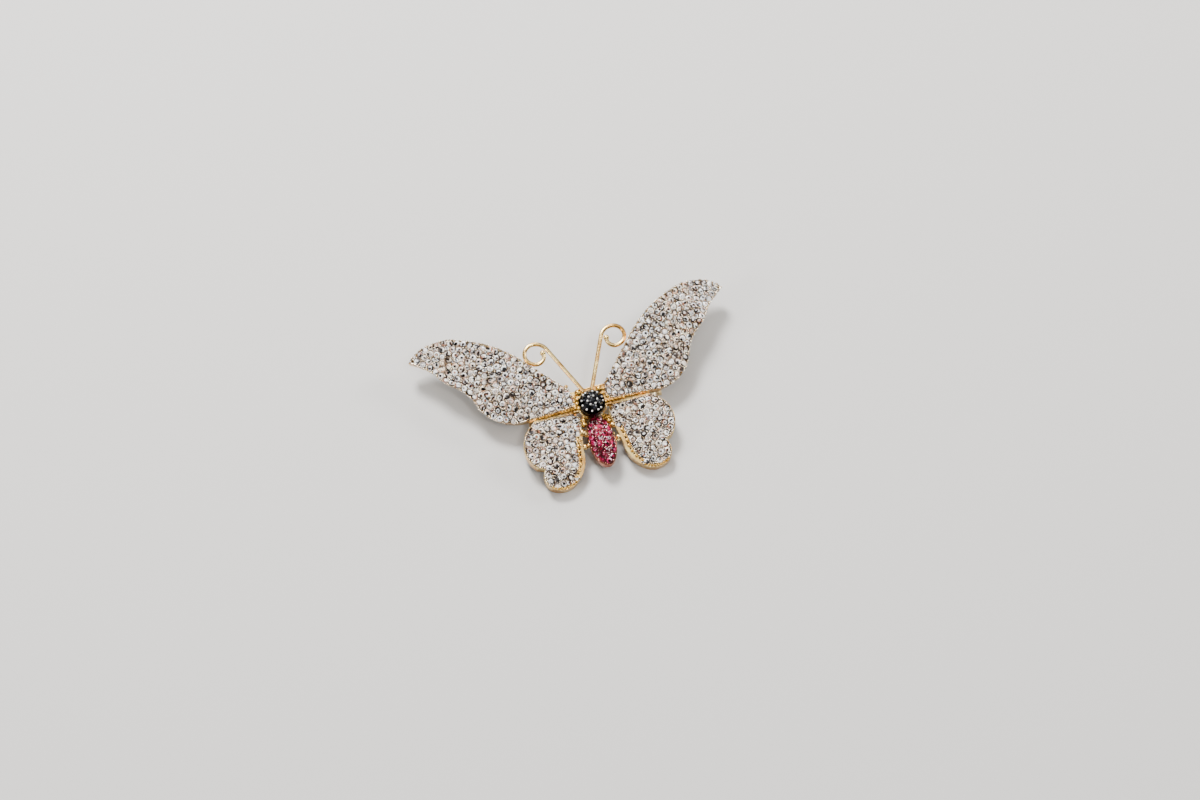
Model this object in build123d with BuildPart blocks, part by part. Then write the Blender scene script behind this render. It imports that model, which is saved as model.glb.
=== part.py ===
"""Butterfly brooch in yellow gold with white, black and red stones. All sizes are in millimetres.

It is modelled with the middle of the head at the origin, +X across the wings, +Y towards the antennae and
+Z out of the front. At the end it is laid down as it rests by itself, on its pin fittings and on the ends
of its hind wings, with the middle of its box at the origin and its lowest point at height 0.
"""

from build123d import *
from math import asin, ceil, cos, floor, pi, radians, sin, sqrt
from typing import NamedTuple
import os

# Clearances
setting_gap = 0.05  # between a setting and the metal that carries it
seat_gap = 0.03  # between a stone and its drilled seat
floor_gap = 0.08  # between the point of a wing's stone and the bed under it
stone_to_rim = 0.07  # between a wing's outermost stones and the rim
pin_gap = 0.05  # between the pin and its hinge and catch

# Cut stones: the depths and the table are shares of a stone's width
stone_sides = 8
table_share = 0.58
crown_share = 0.16
pavilion_share = 0.43
white_stone_width = 1.27
white_stone_pitch = 1.42
black_stone_width = 1.02
ruby_width = 0.94

# Wings: the reach is from the middle of the head outwards, the rise towards the antennae or the tail
forewing_reach = 26.45
forewing_rise = 16.76
forewing_height = 0.02  # of the wing's plane at the middle of the head
forewing_slope_out = 0.1346  # fall for each millimetre outwards
forewing_slope_back = 0.2159  # fall for each millimetre towards the tail
forewing_crown = (11.0, 8.0)  # where the dome is highest above the plane
forewing_rows_turn = 48.0  # degrees of the rows of stones from +X
forewing_rows_shift = (0.5, 0.75)  # along and across the rows, in shares of the pitch
hindwing_reach = 12.31
hindwing_drop = 12.35
hindwing_height = -1.39
hindwing_slope_out = -0.03
hindwing_slope_back = 0.12
hindwing_crown = (8.0, -5.0)
hindwing_rows_turn = 45.0
hindwing_rows_shift = (0.5, 0.5)
hindwing_margin = 0.72  # plain gold strip along the side towards the abdomen, beside the rim
margin_hole_radius = 0.17
margin_hole_depth = 0.3
margin_hole_pitch = 0.95
margin_hole_ends = (-4.6, -10.6)  # how far towards the tail the row of holes runs
dome_radius = 80.0
wall_height = 1.7
rim_width = 0.32
rim_over_girdle = 0.05
bed_thickness = 0.45

# Gallery strips between the fore and hind wings
gallery_end = 9.6
gallery_width = 1.5
gallery_top = -2.0
gallery_thickness = 0.6

# Head
head_radius = 2.1
head_rise = 0.9
head_wall = 0.9
head_ring_radius = 1.24

# Abdomen
abdomen_half_width = 2.15
abdomen_half_length = 4.35
abdomen_middle = -6.05
abdomen_rim_height = -1.8
abdomen_wall = 1.0
abdomen_dome_rise = 1.0
ruby_column_pitch = 1.07
ruby_row_pitch = 1.2
ruby_to_edge = 0.2

# Metal under the head and abdomen
thorax_half_width = 3.1
thorax_plate_thickness = 1.0
thorax_front = 2.87
thorax_back = -0.6
column_half_width = 1.8
column_length = 3.6
spine_half_width = 0.8
spine_thickness = 0.45
spine_end = -8.6
bridge_places = (-3.6, -6.0)
bridge_reach = 3.1
bridge_width = 0.5

# Antennae
antenna_wire_radius = 0.34
antenna_root = (0.67, 2.5)
antenna_root_height = -1.13
antenna_rise_angle = 5.0
antenna_lean = 65.4  # degrees of the straight run from +X
antenna_straight = 9.3
antenna_bend_radius = 2.2
curl_radius = 1.72
curl_turn = 180.0
curl_end_radius = 1.3
curl_end_turn = 105.0
antenna_ball_radius = 0.48

# Pin on the back
pin_radius = 0.4
pin_across = 1.12  # how far the pin lies towards the antennae
pin_height = -4.75
pin_hinge_place = -9.3
pin_end_place = 11.85
pin_end_chamfer = 0.08
knuckle_radius = 0.7
knuckle_length = 0.8
trunnion_radius = 0.3
ear_thickness = 0.5
hinge_half_length = 0.95  # of the hinge and the catch along the pin
catch_half_length = 0.8
catch_place = 8.2
fitting_chamfer = 0.2
fitting_top = -2.35  # where the fittings meet the gallery strips
fitting_wing_top = -1.0  # inside the wings, before their trays are cut away
fitting_wing_side = 0.6
knuckle_room_top = -3.8
foot_reach = 4.6  # how far the fittings' feet reach towards the antennae, to hold the forewings up

# How it lies: on its feet and on the ends of its hind wings, with its antennae raised
rest_tilt = 4.0


class Stretch(NamedTuple):
    """One stretch of a wing's outline, in shares of the wing's reach and rise.

    end is where the stretch ends. via is a point that its arc passes through, and a straight one has none.
    """

    end: tuple
    via: tuple = None


forewing_start = (0.103, 0.022)
forewing_outline = [
    Stretch(end=(0.364, 0.007)),
    Stretch(via=(0.570, 0.089), end=(0.661, 0.260)),
    Stretch(via=(0.695, 0.399), end=(0.777, 0.545)),
    Stretch(via=(0.823, 0.619), end=(0.855, 0.702)),
    Stretch(via=(0.906, 0.790), end=(1.000, 0.901)),
    Stretch(via=(0.868, 1.000), end=(0.671, 0.953)),
    Stretch(via=(0.471, 0.780), end=(0.313, 0.535)),
    Stretch(end=(0.115, 0.171)),
]
hindwing_start = (0.186, -0.125)
hindwing_outline = [
    Stretch(end=(0.275, -0.046)),
    Stretch(end=(0.731, -0.036)),
    Stretch(via=(0.784, -0.049), end=(0.829, -0.076)),
    Stretch(via=(1.000, -0.414), end=(0.894, -0.646)),
    Stretch(end=(0.812, -0.679)),
    Stretch(via=(0.842, -0.806), end=(0.780, -0.946)),
    Stretch(via=(0.617, -1.000), end=(0.438, -0.939)),
    Stretch(via=(0.316, -0.801), end=(0.260, -0.572)),
]

# Levels below the rim of a wing, measured along the dome's radius
girdle_level = rim_over_girdle
bed_level = girdle_level + pavilion_share * white_stone_width + floor_gap
underside_level = bed_level + bed_thickness


def wing_plane(height, slope_out, slope_back):
    """The plane that a right wing is drawn on."""
    return Plane(origin=(0, 0, height), x_dir=(1, 0, -slope_out), z_dir=(slope_out, -slope_back, 1))


def wing_face(start, table, reach, rise):
    """A wing's outline as a flat face, from its table of stretches."""
    with BuildSketch() as face:
        with BuildLine():
            here = (start[0] * reach, start[1] * rise)
            first = here
            for stretch in table:
                end = (stretch.end[0] * reach, stretch.end[1] * rise)
                if stretch.via:
                    ThreePointArc(here, (stretch.via[0] * reach, stretch.via[1] * rise), end)
                else:
                    Line(here, end)
                here = end
            Line(here, first)
        make_face()
    return face.sketch


def inset_face(face, inset, margin=0.0):
    """A wing's face drawn in on all sides, and by a further margin on the side towards the abdomen."""
    with BuildSketch() as smaller:
        add(face)
        offset(amount=-inset, kind=Kind.ARC)
        if margin:
            whole = smaller.sketch
            with Locations((margin, 0)):
                add(whole, mode=Mode.INTERSECT)
    return smaller.sketch


def domed_slab(face, plane, crown, top_level, bottom_level):
    """The prism over a face, kept between two levels below the wing's dome."""
    with BuildPart(plane) as slab:
        with BuildSketch(plane.offset(-dome_radius / 4)):
            add(face)
        extrude(amount=dome_radius / 2)
        with Locations((crown[0], crown[1], -dome_radius)):
            Sphere(dome_radius - top_level, rotation=(90, 0, 0), mode=Mode.INTERSECT)
            Sphere(dome_radius - bottom_level, rotation=(90, 0, 0), mode=Mode.SUBTRACT)
    return slab.part


def wing_tray(face, plane, crown, margin=0.0):
    """A wing's metal: a side wall round a domed bed, sunk below the rim in front and hollow behind."""
    field = inset_face(face, rim_width, margin)
    hollow = inset_face(face, rim_width)
    with BuildPart() as tray:
        add(domed_slab(face, plane, crown, 0, wall_height))
        add(domed_slab(field, plane, crown, -wall_height, bed_level), mode=Mode.SUBTRACT)
        add(domed_slab(hollow, plane, crown, underside_level, 2 * wall_height), mode=Mode.SUBTRACT)
    return tray.part


def on_dome(x, y, crown, level):
    """The place on a wing's dome above a point of its plane, with its Z along the dome's radius."""
    across = x - crown[0]
    along = y - crown[1]
    radius = dome_radius - level
    normal = Vector(across, along, sqrt(dome_radius**2 - across**2 - along**2)).normalized()
    place = Vector(crown[0], crown[1], -dome_radius) + normal * radius
    return Plane(origin=place, x_dir=(1, 0, 0), z_dir=normal)


def cut_stone(width):
    """A round stone with a flat table, facets above its girdle and a point below it."""
    girdle = RegularPolygon(width / 2, stone_sides, mode=Mode.PRIVATE).face()
    table = RegularPolygon(width / 2 * table_share, stone_sides, mode=Mode.PRIVATE).face()
    with BuildPart() as stone:
        loft([girdle, table.moved(Location((0, 0, width * crown_share)))], ruled=True)
        loft([girdle, Vertex(0, 0, -width * pavilion_share)], ruled=True)
    return stone.part


def seat_tool(width, reach_up):
    """The shape that drills a stone's seat: a cone for its point and a cylinder for its crown."""
    radius = width / 2 + seat_gap
    depth = radius * 2 * pavilion_share
    with BuildPart() as tool:
        with BuildSketch(Plane.XZ):
            with BuildLine():
                Polyline((0, -depth), (radius, 0), (radius, reach_up), (0, reach_up), close=True)
            make_face()
        revolve(axis=Axis.Z)
    return tool.part


def hexagon_rows(face, pitch, turn, shift, inset):
    """The points of a close-packed pattern that lie inside a face drawn in by inset."""
    room = inset_face(face, inset).faces()
    middle = face.bounding_box().center()
    half = face.bounding_box().size.length / 2
    row_step = pitch * sin(radians(60))
    rows = ceil(half / row_step)
    columns = ceil(half / pitch) + 1
    points = []
    for row in range(-rows, rows + 1):
        for column in range(-columns, columns + 1):
            along = (column + (row % 2) / 2 + shift[0]) * pitch
            across = (row + shift[1]) * row_step
            x = middle.X + along * cos(radians(turn)) - across * sin(radians(turn))
            y = middle.Y + along * sin(radians(turn)) + across * cos(radians(turn))
            if any(part.is_inside(Vector(x, y, 0)) for part in room):
                points.append((x, y))
    return points


def wing_places(face, crown, turn, shift, margin=0.0):
    """Where a wing's stones sit, on its own plane."""
    field = inset_face(face, rim_width, margin)
    inset = white_stone_width / 2 + stone_to_rim
    points = hexagon_rows(field, white_stone_pitch, turn, shift, inset)
    return [on_dome(x, y, crown, girdle_level) for x, y in points]


def stone_field(stone, plane, places):
    """Copies of one stone at places that are given on a plane."""
    with BuildPart() as field:
        with Locations([plane.location * place.location for place in places]):
            add(stone, clean=False)
    return field.part


def bar(x_ends, y_ends, z_ends):
    """A plain bar between two values on each axis."""
    with BuildPart() as piece:
        with Locations((sum(x_ends) / 2, sum(y_ends) / 2, sum(z_ends) / 2)):
            Box(x_ends[1] - x_ends[0], y_ends[1] - y_ends[0], z_ends[1] - z_ends[0])
    return piece.part


# The outlines and the stone places of the right wings
fore_plane = wing_plane(forewing_height, forewing_slope_out, forewing_slope_back)
hind_plane = wing_plane(hindwing_height, hindwing_slope_out, hindwing_slope_back)
fore_face = wing_face(forewing_start, forewing_outline, forewing_reach, forewing_rise)
hind_face = wing_face(hindwing_start, hindwing_outline, hindwing_reach, hindwing_drop)
fore_places = wing_places(fore_face, forewing_crown, forewing_rows_turn, forewing_rows_shift)
hind_places = wing_places(
    hind_face, hindwing_crown, hindwing_rows_turn, hindwing_rows_shift, hindwing_margin
)

white_stone = cut_stone(white_stone_width)
black_stone = cut_stone(black_stone_width)
ruby = cut_stone(ruby_width)

# Levels of the metal under the head and the abdomen
head_base = -head_wall
thorax_top = head_base - setting_gap
thorax_bottom = thorax_top - thorax_plate_thickness
abdomen_base = abdomen_rim_height - abdomen_wall
spine_top = abdomen_base - setting_gap
spine_bottom = spine_top - spine_thickness


def antenna():
    """The right antenna: a straight wire that bends over into a curl, with a ball on its end."""
    up = radians(antenna_rise_angle)
    level = Plane(
        origin=(0, 0, antenna_root_height), x_dir=(1, 0, 0), z_dir=(0, -sin(up), cos(up))
    )
    heading = (cos(radians(antenna_lean)), sin(radians(antenna_lean)))
    with BuildPart() as wire:
        with BuildLine(level) as route:
            run = PolarLine(antenna_root, antenna_straight, antenna_lean)
            bend = JernArc(run @ 1, heading, antenna_bend_radius, -antenna_lean)
            curl = JernArc(bend @ 1, (1, 0), curl_radius, -curl_turn)
            JernArc(curl @ 1, (-1, 0), curl_end_radius, -curl_end_turn)
        with BuildSketch(Plane(origin=route.line @ 0, z_dir=route.line % 0)):
            Circle(antenna_wire_radius)
        sweep(path=route.line)
        with Locations(route.line @ 1):
            Sphere(antenna_ball_radius)
    return wire.part


def margin_holes():
    """The row of small drilled holes along the right hind wing's plain gold strip."""
    strip_middle = inset_face(hind_face, rim_width + hindwing_margin / 2)
    count = floor((margin_hole_ends[0] - margin_hole_ends[1]) / margin_hole_pitch)
    bottoms = []
    for step in range(count + 1):
        y = margin_hole_ends[0] - step * margin_hole_pitch
        across = Line((0, y), (hindwing_reach, y), mode=Mode.PRIVATE) & strip_middle
        bottoms.append(on_dome(across.bounding_box().min.X, y, hindwing_crown, margin_hole_depth))
    with BuildPart() as holes:
        with Locations([hind_plane.location * bottom.location for bottom in bottoms]):
            Cylinder(margin_hole_radius, wall_height, align=(Align.CENTER, Align.CENTER, Align.MIN))
    return holes.part


with BuildPart() as right_metal:
    add(wing_tray(fore_face, fore_plane, forewing_crown))
    add(wing_tray(hind_face, hind_plane, hindwing_crown, hindwing_margin))
    add(margin_holes(), mode=Mode.SUBTRACT)
    add(
        bar(
            (thorax_half_width - rim_width, gallery_end),
            (-gallery_width / 2, gallery_width / 2),
            (gallery_top - gallery_thickness, gallery_top),
        )
    )
    add(antenna())

# The surface that it lies on, which its hind wings touch
lying_turn = Location((0, 0, 0), (rest_tilt, 0, 0))
lowest = right_metal.part.moved(lying_turn).bounding_box().min.Z
upwards = Vector(0, sin(radians(rest_tilt)), cos(radians(rest_tilt)))
ground = Plane(origin=upwards * lowest, x_dir=(1, 0, 0), z_dir=upwards)

# The hinge on the left and the catch on the right, each a block whose foot reaches forward of the pin
hinge_inside = knuckle_length / 2 + pin_gap
hinge_outside = hinge_inside + ear_thickness
hinge_axis = Plane(origin=(pin_hinge_place, pin_across, pin_height), x_dir=(1, 0, 0), z_dir=(0, -1, 0))
pin_axis = Plane(origin=(pin_hinge_place, pin_across, pin_height), x_dir=(0, 1, 0), z_dir=(1, 0, 0))
catch_axis = pin_axis.offset(catch_place - pin_hinge_place)
fitting_back = pin_across - hinge_outside


def fitting_block(half_length):
    """A block at x = 0 that is soldered to a forewing above and cut off below where it stands."""
    x_ends = (-half_length, half_length)
    with BuildPart() as block:
        add(bar(x_ends, (fitting_back, foot_reach), (2 * pin_height, fitting_top)))
        add(bar(x_ends, (fitting_wing_side, foot_reach), (fitting_top, fitting_wing_top)))
        split(bisect_by=ground, keep=Keep.TOP)
        foot = block.faces().sort_by(Axis(origin=(0, 0, 0), direction=ground.z_dir))[0]
        chamfer(foot.edges().filter_by(Axis.X, reverse=True), length=fitting_chamfer)
    return block.part


mid_bed_level = bed_level + bed_thickness / 2
fore_opening = domed_slab(fore_face, fore_plane, forewing_crown, -wall_height, mid_bed_level)

with BuildPart() as hinge_block:
    with Locations((pin_hinge_place, 0, 0)):
        add(fitting_block(hinge_half_length))
    mirror(fore_opening, about=Plane.YZ, mode=Mode.SUBTRACT)
    add(
        bar(
            (pin_hinge_place - 2 * hinge_half_length, pin_hinge_place + 2 * hinge_half_length),
            (pin_across - hinge_inside, pin_across + hinge_inside),
            (2 * pin_height, knuckle_room_top),
        ),
        mode=Mode.SUBTRACT,
    )
    with BuildSketch(hinge_axis):
        Circle(trunnion_radius + pin_gap)
    extrude(amount=hinge_outside + pin_gap, both=True, mode=Mode.SUBTRACT)

with BuildPart() as catch_block:
    with Locations((catch_place, 0, 0)):
        add(fitting_block(catch_half_length))
    add(fore_opening, mode=Mode.SUBTRACT)
    with BuildSketch(catch_axis):
        Circle(pin_radius + pin_gap)
        with Locations((-hinge_outside / 2, 0)):
            Rectangle(hinge_outside, 2 * (pin_radius + pin_gap))
    extrude(amount=2 * catch_half_length, both=True, mode=Mode.SUBTRACT)

with BuildPart() as frame:
    add(right_metal.part)
    mirror(about=Plane.YZ)
    add(
        bar(
            (-thorax_half_width, thorax_half_width),
            (thorax_back, thorax_front),
            (thorax_bottom, thorax_top),
        )
    )
    add(
        bar(
            (-column_half_width, column_half_width),
            (thorax_front - column_length, thorax_front),
            (spine_bottom, thorax_bottom),
        )
    )
    add(bar((-spine_half_width, spine_half_width), (spine_end, 0), (spine_bottom, spine_top)))
    for place in bridge_places:
        ends = (place - bridge_width / 2, place + bridge_width / 2)
        add(bar((-bridge_reach, bridge_reach), ends, (spine_bottom, spine_top)))
    add(hinge_block.part)
    add(catch_block.part)

# The pin, with its knuckle and the trunnions that turn in the ears
with BuildPart() as brooch_pin:
    with BuildSketch(pin_axis):
        Circle(pin_radius)
    extrude(amount=pin_end_place - pin_hinge_place)
    chamfer(brooch_pin.edges().sort_by(Axis.X)[-1], length=pin_end_chamfer)
    with BuildSketch(hinge_axis):
        Circle(knuckle_radius)
    extrude(amount=knuckle_length / 2, both=True)
    with BuildSketch(hinge_axis):
        Circle(trunnion_radius)
    extrude(amount=hinge_outside, both=True)

# The head: a domed button with a stone in the middle and a ring of stones round it
head_dome_radius = (head_radius**2 + head_rise**2) / (2 * head_rise)
ring_count = floor(pi / asin(0.5 * (black_stone_width + 0.1) / head_ring_radius))


def on_head(radius, turn):
    """A stone's place on the head's dome, at a radius from the middle and a turn from +X."""
    slope = asin(radius / head_dome_radius)
    normal = Vector(sin(slope) * cos(turn), sin(slope) * sin(turn), cos(slope))
    middle = Vector(0, 0, head_rise - head_dome_radius)
    return Plane(origin=middle + normal * head_dome_radius, z_dir=normal)


head_places = [on_head(0, 0)]
for step in range(ring_count):
    head_places.append(on_head(head_ring_radius, 2 * pi * (step + 0.5) / ring_count))

with BuildPart() as head_setting:
    with Locations((0, 0, head_base)):
        Cylinder(head_radius, head_wall + head_rise, align=(Align.CENTER, Align.CENTER, Align.MIN))
    with Locations((0, 0, head_rise - head_dome_radius)):
        Sphere(head_dome_radius, rotation=(90, 0, 0), mode=Mode.INTERSECT)
    with Locations([place.location for place in head_places]):
        add(seat_tool(black_stone_width, head_rise), mode=Mode.SUBTRACT)

with BuildPart() as head_stones:
    with Locations([place.location for place in head_places]):
        add(black_stone)

# The abdomen: an oval with a dome that is round across and flatter along
across_radius = (abdomen_half_width**2 + abdomen_dome_rise**2) / (2 * abdomen_dome_rise)
along_radius = (abdomen_half_length**2 + abdomen_dome_rise**2) / (2 * abdomen_dome_rise)
abdomen_top = abdomen_rim_height + abdomen_dome_rise


def on_abdomen(across, along):
    """A ruby's place on the abdomen's dome, at a distance across and along from its middle."""
    pitch = asin(along / along_radius)
    girth = across_radius - along_radius * (1 - cos(pitch))
    roll = asin(across / girth)
    normal = Vector(cos(pitch) * sin(roll), sin(pitch), cos(pitch) * cos(roll))
    axis_height = abdomen_top - across_radius
    place = Vector(girth * sin(roll), abdomen_middle + along, axis_height + girth * cos(roll))
    return Plane(origin=place, x_dir=(0, 1, 0), z_dir=normal)


ruby_rows = floor((abdomen_half_length - ruby_to_edge) / ruby_row_pitch)
ruby_places = []
for row in range(-ruby_rows, ruby_rows + 1):
    share = row * ruby_row_pitch / abdomen_half_length
    room = abdomen_half_width * sqrt(1 - share**2) - ruby_to_edge - ruby_width / 2
    columns = floor(max(room, 0) / ruby_column_pitch * 0.999 + 0.25)
    for column in range(-columns, columns + 1):
        ruby_places.append(on_abdomen(column * ruby_column_pitch, row * ruby_row_pitch))

dome_end = abdomen_half_length + setting_gap
dome_end_height = abdomen_top - along_radius + sqrt(along_radius**2 - dome_end**2)
dome_axis_height = abdomen_top - across_radius
dome_ends = (abdomen_middle - dome_end, abdomen_middle + dome_end)

with BuildPart() as abdomen_setting:
    with BuildSketch(Plane.XY.offset(abdomen_base)):
        with Locations((0, abdomen_middle)):
            Ellipse(abdomen_half_width, abdomen_half_length)
    extrude(amount=abdomen_wall + abdomen_dome_rise)
    with BuildSketch(Plane.YZ):
        with BuildLine():
            ThreePointArc(
                (dome_ends[0], dome_end_height),
                (abdomen_middle, abdomen_top),
                (dome_ends[1], dome_end_height),
            )
            Polyline(
                (dome_ends[1], dome_end_height),
                (dome_ends[1], dome_axis_height),
                (dome_ends[0], dome_axis_height),
                (dome_ends[0], dome_end_height),
            )
        make_face()
    revolve(axis=Axis((0, 0, dome_axis_height), (0, 1, 0)), mode=Mode.INTERSECT)
    with Locations([place.location for place in ruby_places]):
        add(seat_tool(ruby_width, abdomen_dome_rise), mode=Mode.SUBTRACT)

with BuildPart() as abdomen_stones:
    with Locations([place.location for place in ruby_places]):
        add(ruby)

# The white stones, in one field for each wing
with BuildPart() as forewing_right_stones:
    add(stone_field(white_stone, fore_plane, fore_places))
with BuildPart() as hindwing_right_stones:
    add(stone_field(white_stone, hind_plane, hind_places))
with BuildPart() as forewing_left_stones:
    mirror(forewing_right_stones.part, about=Plane.YZ)
with BuildPart() as hindwing_left_stones:
    mirror(hindwing_right_stones.part, about=Plane.YZ)

pieces = [
    frame,
    brooch_pin,
    head_setting,
    abdomen_setting,
    head_stones,
    abdomen_stones,
    forewing_left_stones,
    forewing_right_stones,
    hindwing_left_stones,
    hindwing_right_stones,
]

# Laid down as it rests
whole = Compound([piece.part.moved(lying_turn) for piece in pieces]).bounding_box()
lying = Location((-whole.center().X, -whole.center().Y, -whole.min.Z)) * lying_turn
for piece in pieces:
    piece.part.move(lying)

os.makedirs("parts", exist_ok=True)
frame.part.label = "frame"
export_step(frame.part, "parts/frame.step")
brooch_pin.part.label = "brooch_pin"
export_step(brooch_pin.part, "parts/brooch_pin.step")
head_setting.part.label = "head_setting"
export_step(head_setting.part, "parts/head_setting.step")
abdomen_setting.part.label = "abdomen_setting"
export_step(abdomen_setting.part, "parts/abdomen_setting.step")
head_stones.part.label = "head_stones"
export_step(head_stones.part, "parts/head_stones.step")
abdomen_stones.part.label = "abdomen_stones"
export_step(abdomen_stones.part, "parts/abdomen_stones.step")
forewing_left_stones.part.label = "forewing_left_stones"
export_step(forewing_left_stones.part, "parts/forewing_left_stones.step")
forewing_right_stones.part.label = "forewing_right_stones"
export_step(forewing_right_stones.part, "parts/forewing_right_stones.step")
hindwing_left_stones.part.label = "hindwing_left_stones"
export_step(hindwing_left_stones.part, "parts/hindwing_left_stones.step")
hindwing_right_stones.part.label = "hindwing_right_stones"
export_step(hindwing_right_stones.part, "parts/hindwing_right_stones.step")
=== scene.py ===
"""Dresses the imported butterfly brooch: its cut stones, the beads and beds that hold them, and its metals.

Lengths are in millimetres until a mesh is made, which turns them to metres. Most forms are worked out in
the brooch's own frame: the origin is the middle of the head, +X goes across the wings, +Y towards the
antennae and +Z out of the front. lay_down() brings them to the frame of the solids.
"""

import logging
import math
from dataclasses import dataclass
from enum import Enum
from functools import cached_property

import bpy
import numpy as np
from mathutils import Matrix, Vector


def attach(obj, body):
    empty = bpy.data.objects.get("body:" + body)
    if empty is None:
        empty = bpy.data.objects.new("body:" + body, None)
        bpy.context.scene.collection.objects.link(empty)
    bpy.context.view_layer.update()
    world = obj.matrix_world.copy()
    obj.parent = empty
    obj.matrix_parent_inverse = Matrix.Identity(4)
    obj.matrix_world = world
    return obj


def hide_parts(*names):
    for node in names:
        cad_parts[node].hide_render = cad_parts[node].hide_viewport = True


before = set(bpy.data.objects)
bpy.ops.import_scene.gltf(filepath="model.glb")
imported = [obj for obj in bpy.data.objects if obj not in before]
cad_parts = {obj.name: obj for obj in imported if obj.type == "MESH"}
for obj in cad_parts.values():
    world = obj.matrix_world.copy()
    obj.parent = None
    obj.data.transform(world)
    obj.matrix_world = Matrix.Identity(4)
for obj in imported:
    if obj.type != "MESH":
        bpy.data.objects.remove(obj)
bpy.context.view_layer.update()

LOG = logging.getLogger("brooch")
MM = 0.001
BODY = "root"

# How the brooch lies: turned about X by its rest tilt, with the middle of its head at this place
REST_TILT = math.radians(4.0)
HEAD_PLACE = np.array([0.0, -2.637, 5.501])

# Proportions of every cut stone, as shares of its width, as the solids have them
CROWN_SHARE = 0.16
TABLE_SHARE = 0.58
PAVILION_SHARE = 0.43
TABLE_DIP = 0.02
CROWN_MIDDLE_RADIUS = 0.405
CROWN_MIDDLE_SHARE = 0.55  # of the crown's height
INNER_TABLE_SHARE = 0.6  # of the table's radius

# Which of a stone's patches of facets lie on its table and along its girdle, and how many it has in all
TABLE_PATCHES = slice(0, 5)
GIRDLE_PATCHES = slice(9, 13)
PATCHES = 21
PATCH_SPREAD = 0.2  # how much lighter or darker one patch is than another of its colour
LIGHTEST_TABLE = 1.1  # how light a table may be against its crown
LEAST_EDGE_SHADE = 0.4  # the least share of its kind's edge shade that a facet may have
WARMTH_RANGE = (0.4, 1.6)  # how differently warm neighbours are
PHASES = 6.3  # about a full turn, in radians
TINT = np.array([0.1, 0.5, 0.9])  # how much red, green and blue the full warmth takes away

STONE_LEAN = 0.09  # how far out of true a setter leaves a stone, as the slope's usual size
SMALL_STONES_SEED = 10  # added to a field's seed for its small stones


def lay_down(points: np.ndarray) -> np.ndarray:
    """Brings points from the brooch's own frame to the frame of the solids.

    Args:
        points: Places as an array whose last axis is x, y, z.

    Returns:
        The same places turned about X by the rest tilt and moved by the head's place.
    """
    x, y, z = np.moveaxis(points, -1, 0)
    cosine, sine = math.cos(REST_TILT), math.sin(REST_TILT)
    return np.stack([x, y * cosine - z * sine, y * sine + z * cosine], axis=-1) + HEAD_PLACE


def unit(vectors: np.ndarray) -> np.ndarray:
    """Divides vectors by their lengths, along the last axis."""
    return vectors / np.linalg.norm(vectors, axis=-1, keepdims=True)


def polar(radius: np.ndarray | float, angle: np.ndarray, height: np.ndarray | float) -> np.ndarray:
    """Turns a distance and an angle round the Z axis and a height to x, y, z.

    x is the distance times the angle's cosine and y is the distance times its sine.

    Args:
        radius: The distance of each place from the axis, or of all.
        angle: The angle of each from +X, in radians.
        height: The height of each, or of all.

    Returns:
        The places, with x, y, z along the last axis.
    """
    across, turn, up = np.broadcast_arrays(radius, angle, height)
    return np.stack([across * np.cos(turn), across * np.sin(turn), up], axis=-1)


def add_object(name: str, points: np.ndarray, faces: list[np.ndarray], smooth: bool) -> bpy.types.Object:
    """Makes a piece whose place is in its mesh.

    Args:
        name: The piece's name.
        points: Its vertices in the brooch's own frame, in millimetres.
        faces: Arrays of vertex numbers, each with one face to a row.
        smooth: Whether its faces are shaded smooth.

    Returns:
        The object, at the origin and riding on the brooch's body.
    """
    mesh = bpy.data.meshes.new(name)
    places = lay_down(points) * MM
    mesh.from_pydata(places.tolist(), [], [row for block in faces for row in block.tolist()])
    mesh.polygons.foreach_set("use_smooth", np.full(len(mesh.polygons), smooth))
    mesh.update()
    piece = bpy.data.objects.new(name, mesh)
    bpy.context.scene.collection.objects.link(piece)
    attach(piece, BODY)
    LOG.info("%s: %d vertices, %d faces", name, len(points), len(mesh.polygons))
    return piece


def linear(hex_colour: str) -> tuple[float, float, float, float]:
    """Turns an sRGB colour such as "#E8D9A0" to the linear values that a shader takes.

    Args:
        hex_colour: The colour as a # and six hexadecimal digits.

    Returns:
        Red, green, blue and an alpha of 1.
    """
    shares = [int(hex_colour[place:place + 2], 16) / 255 for place in (1, 3, 5)]
    lit = [share / 12.92 if share <= 0.04045 else ((share + 0.055) / 1.055) ** 2.4 for share in shares]
    return (lit[0], lit[1], lit[2], 1.0)


def add_node(
    material: bpy.types.Material, kind: str, links: dict | None = None, **settings: object
) -> bpy.types.Node:
    """Adds a node to a material.

    Args:
        material: The material whose node tree gets it.
        kind: The node's type, such as "ShaderNodeTexNoise".
        links: Input socket, by name or number, to the output socket that feeds it.
        settings: The node's properties, and its input values by name with underscores for spaces.

    Returns:
        The node.
    """
    tree = material.node_tree
    node = tree.nodes.new(kind)
    for name, value in settings.items():
        socket = node.inputs.get(name.replace("_", " "))
        if socket is None:
            setattr(node, name, value)
        else:
            socket.default_value = value
    for name, source in (links or {}).items():
        tree.links.new(source, node.inputs[name])
    return node


def new_material(name: str) -> tuple[bpy.types.Material, bpy.types.Node]:
    """Makes a material that holds only a Principled BSDF and its output.

    Args:
        name: The material's name.

    Returns:
        The material and its Principled BSDF.
    """
    material = bpy.data.materials.new(name)
    material.use_nodes = True
    return material, material.node_tree.nodes["Principled BSDF"]


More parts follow.
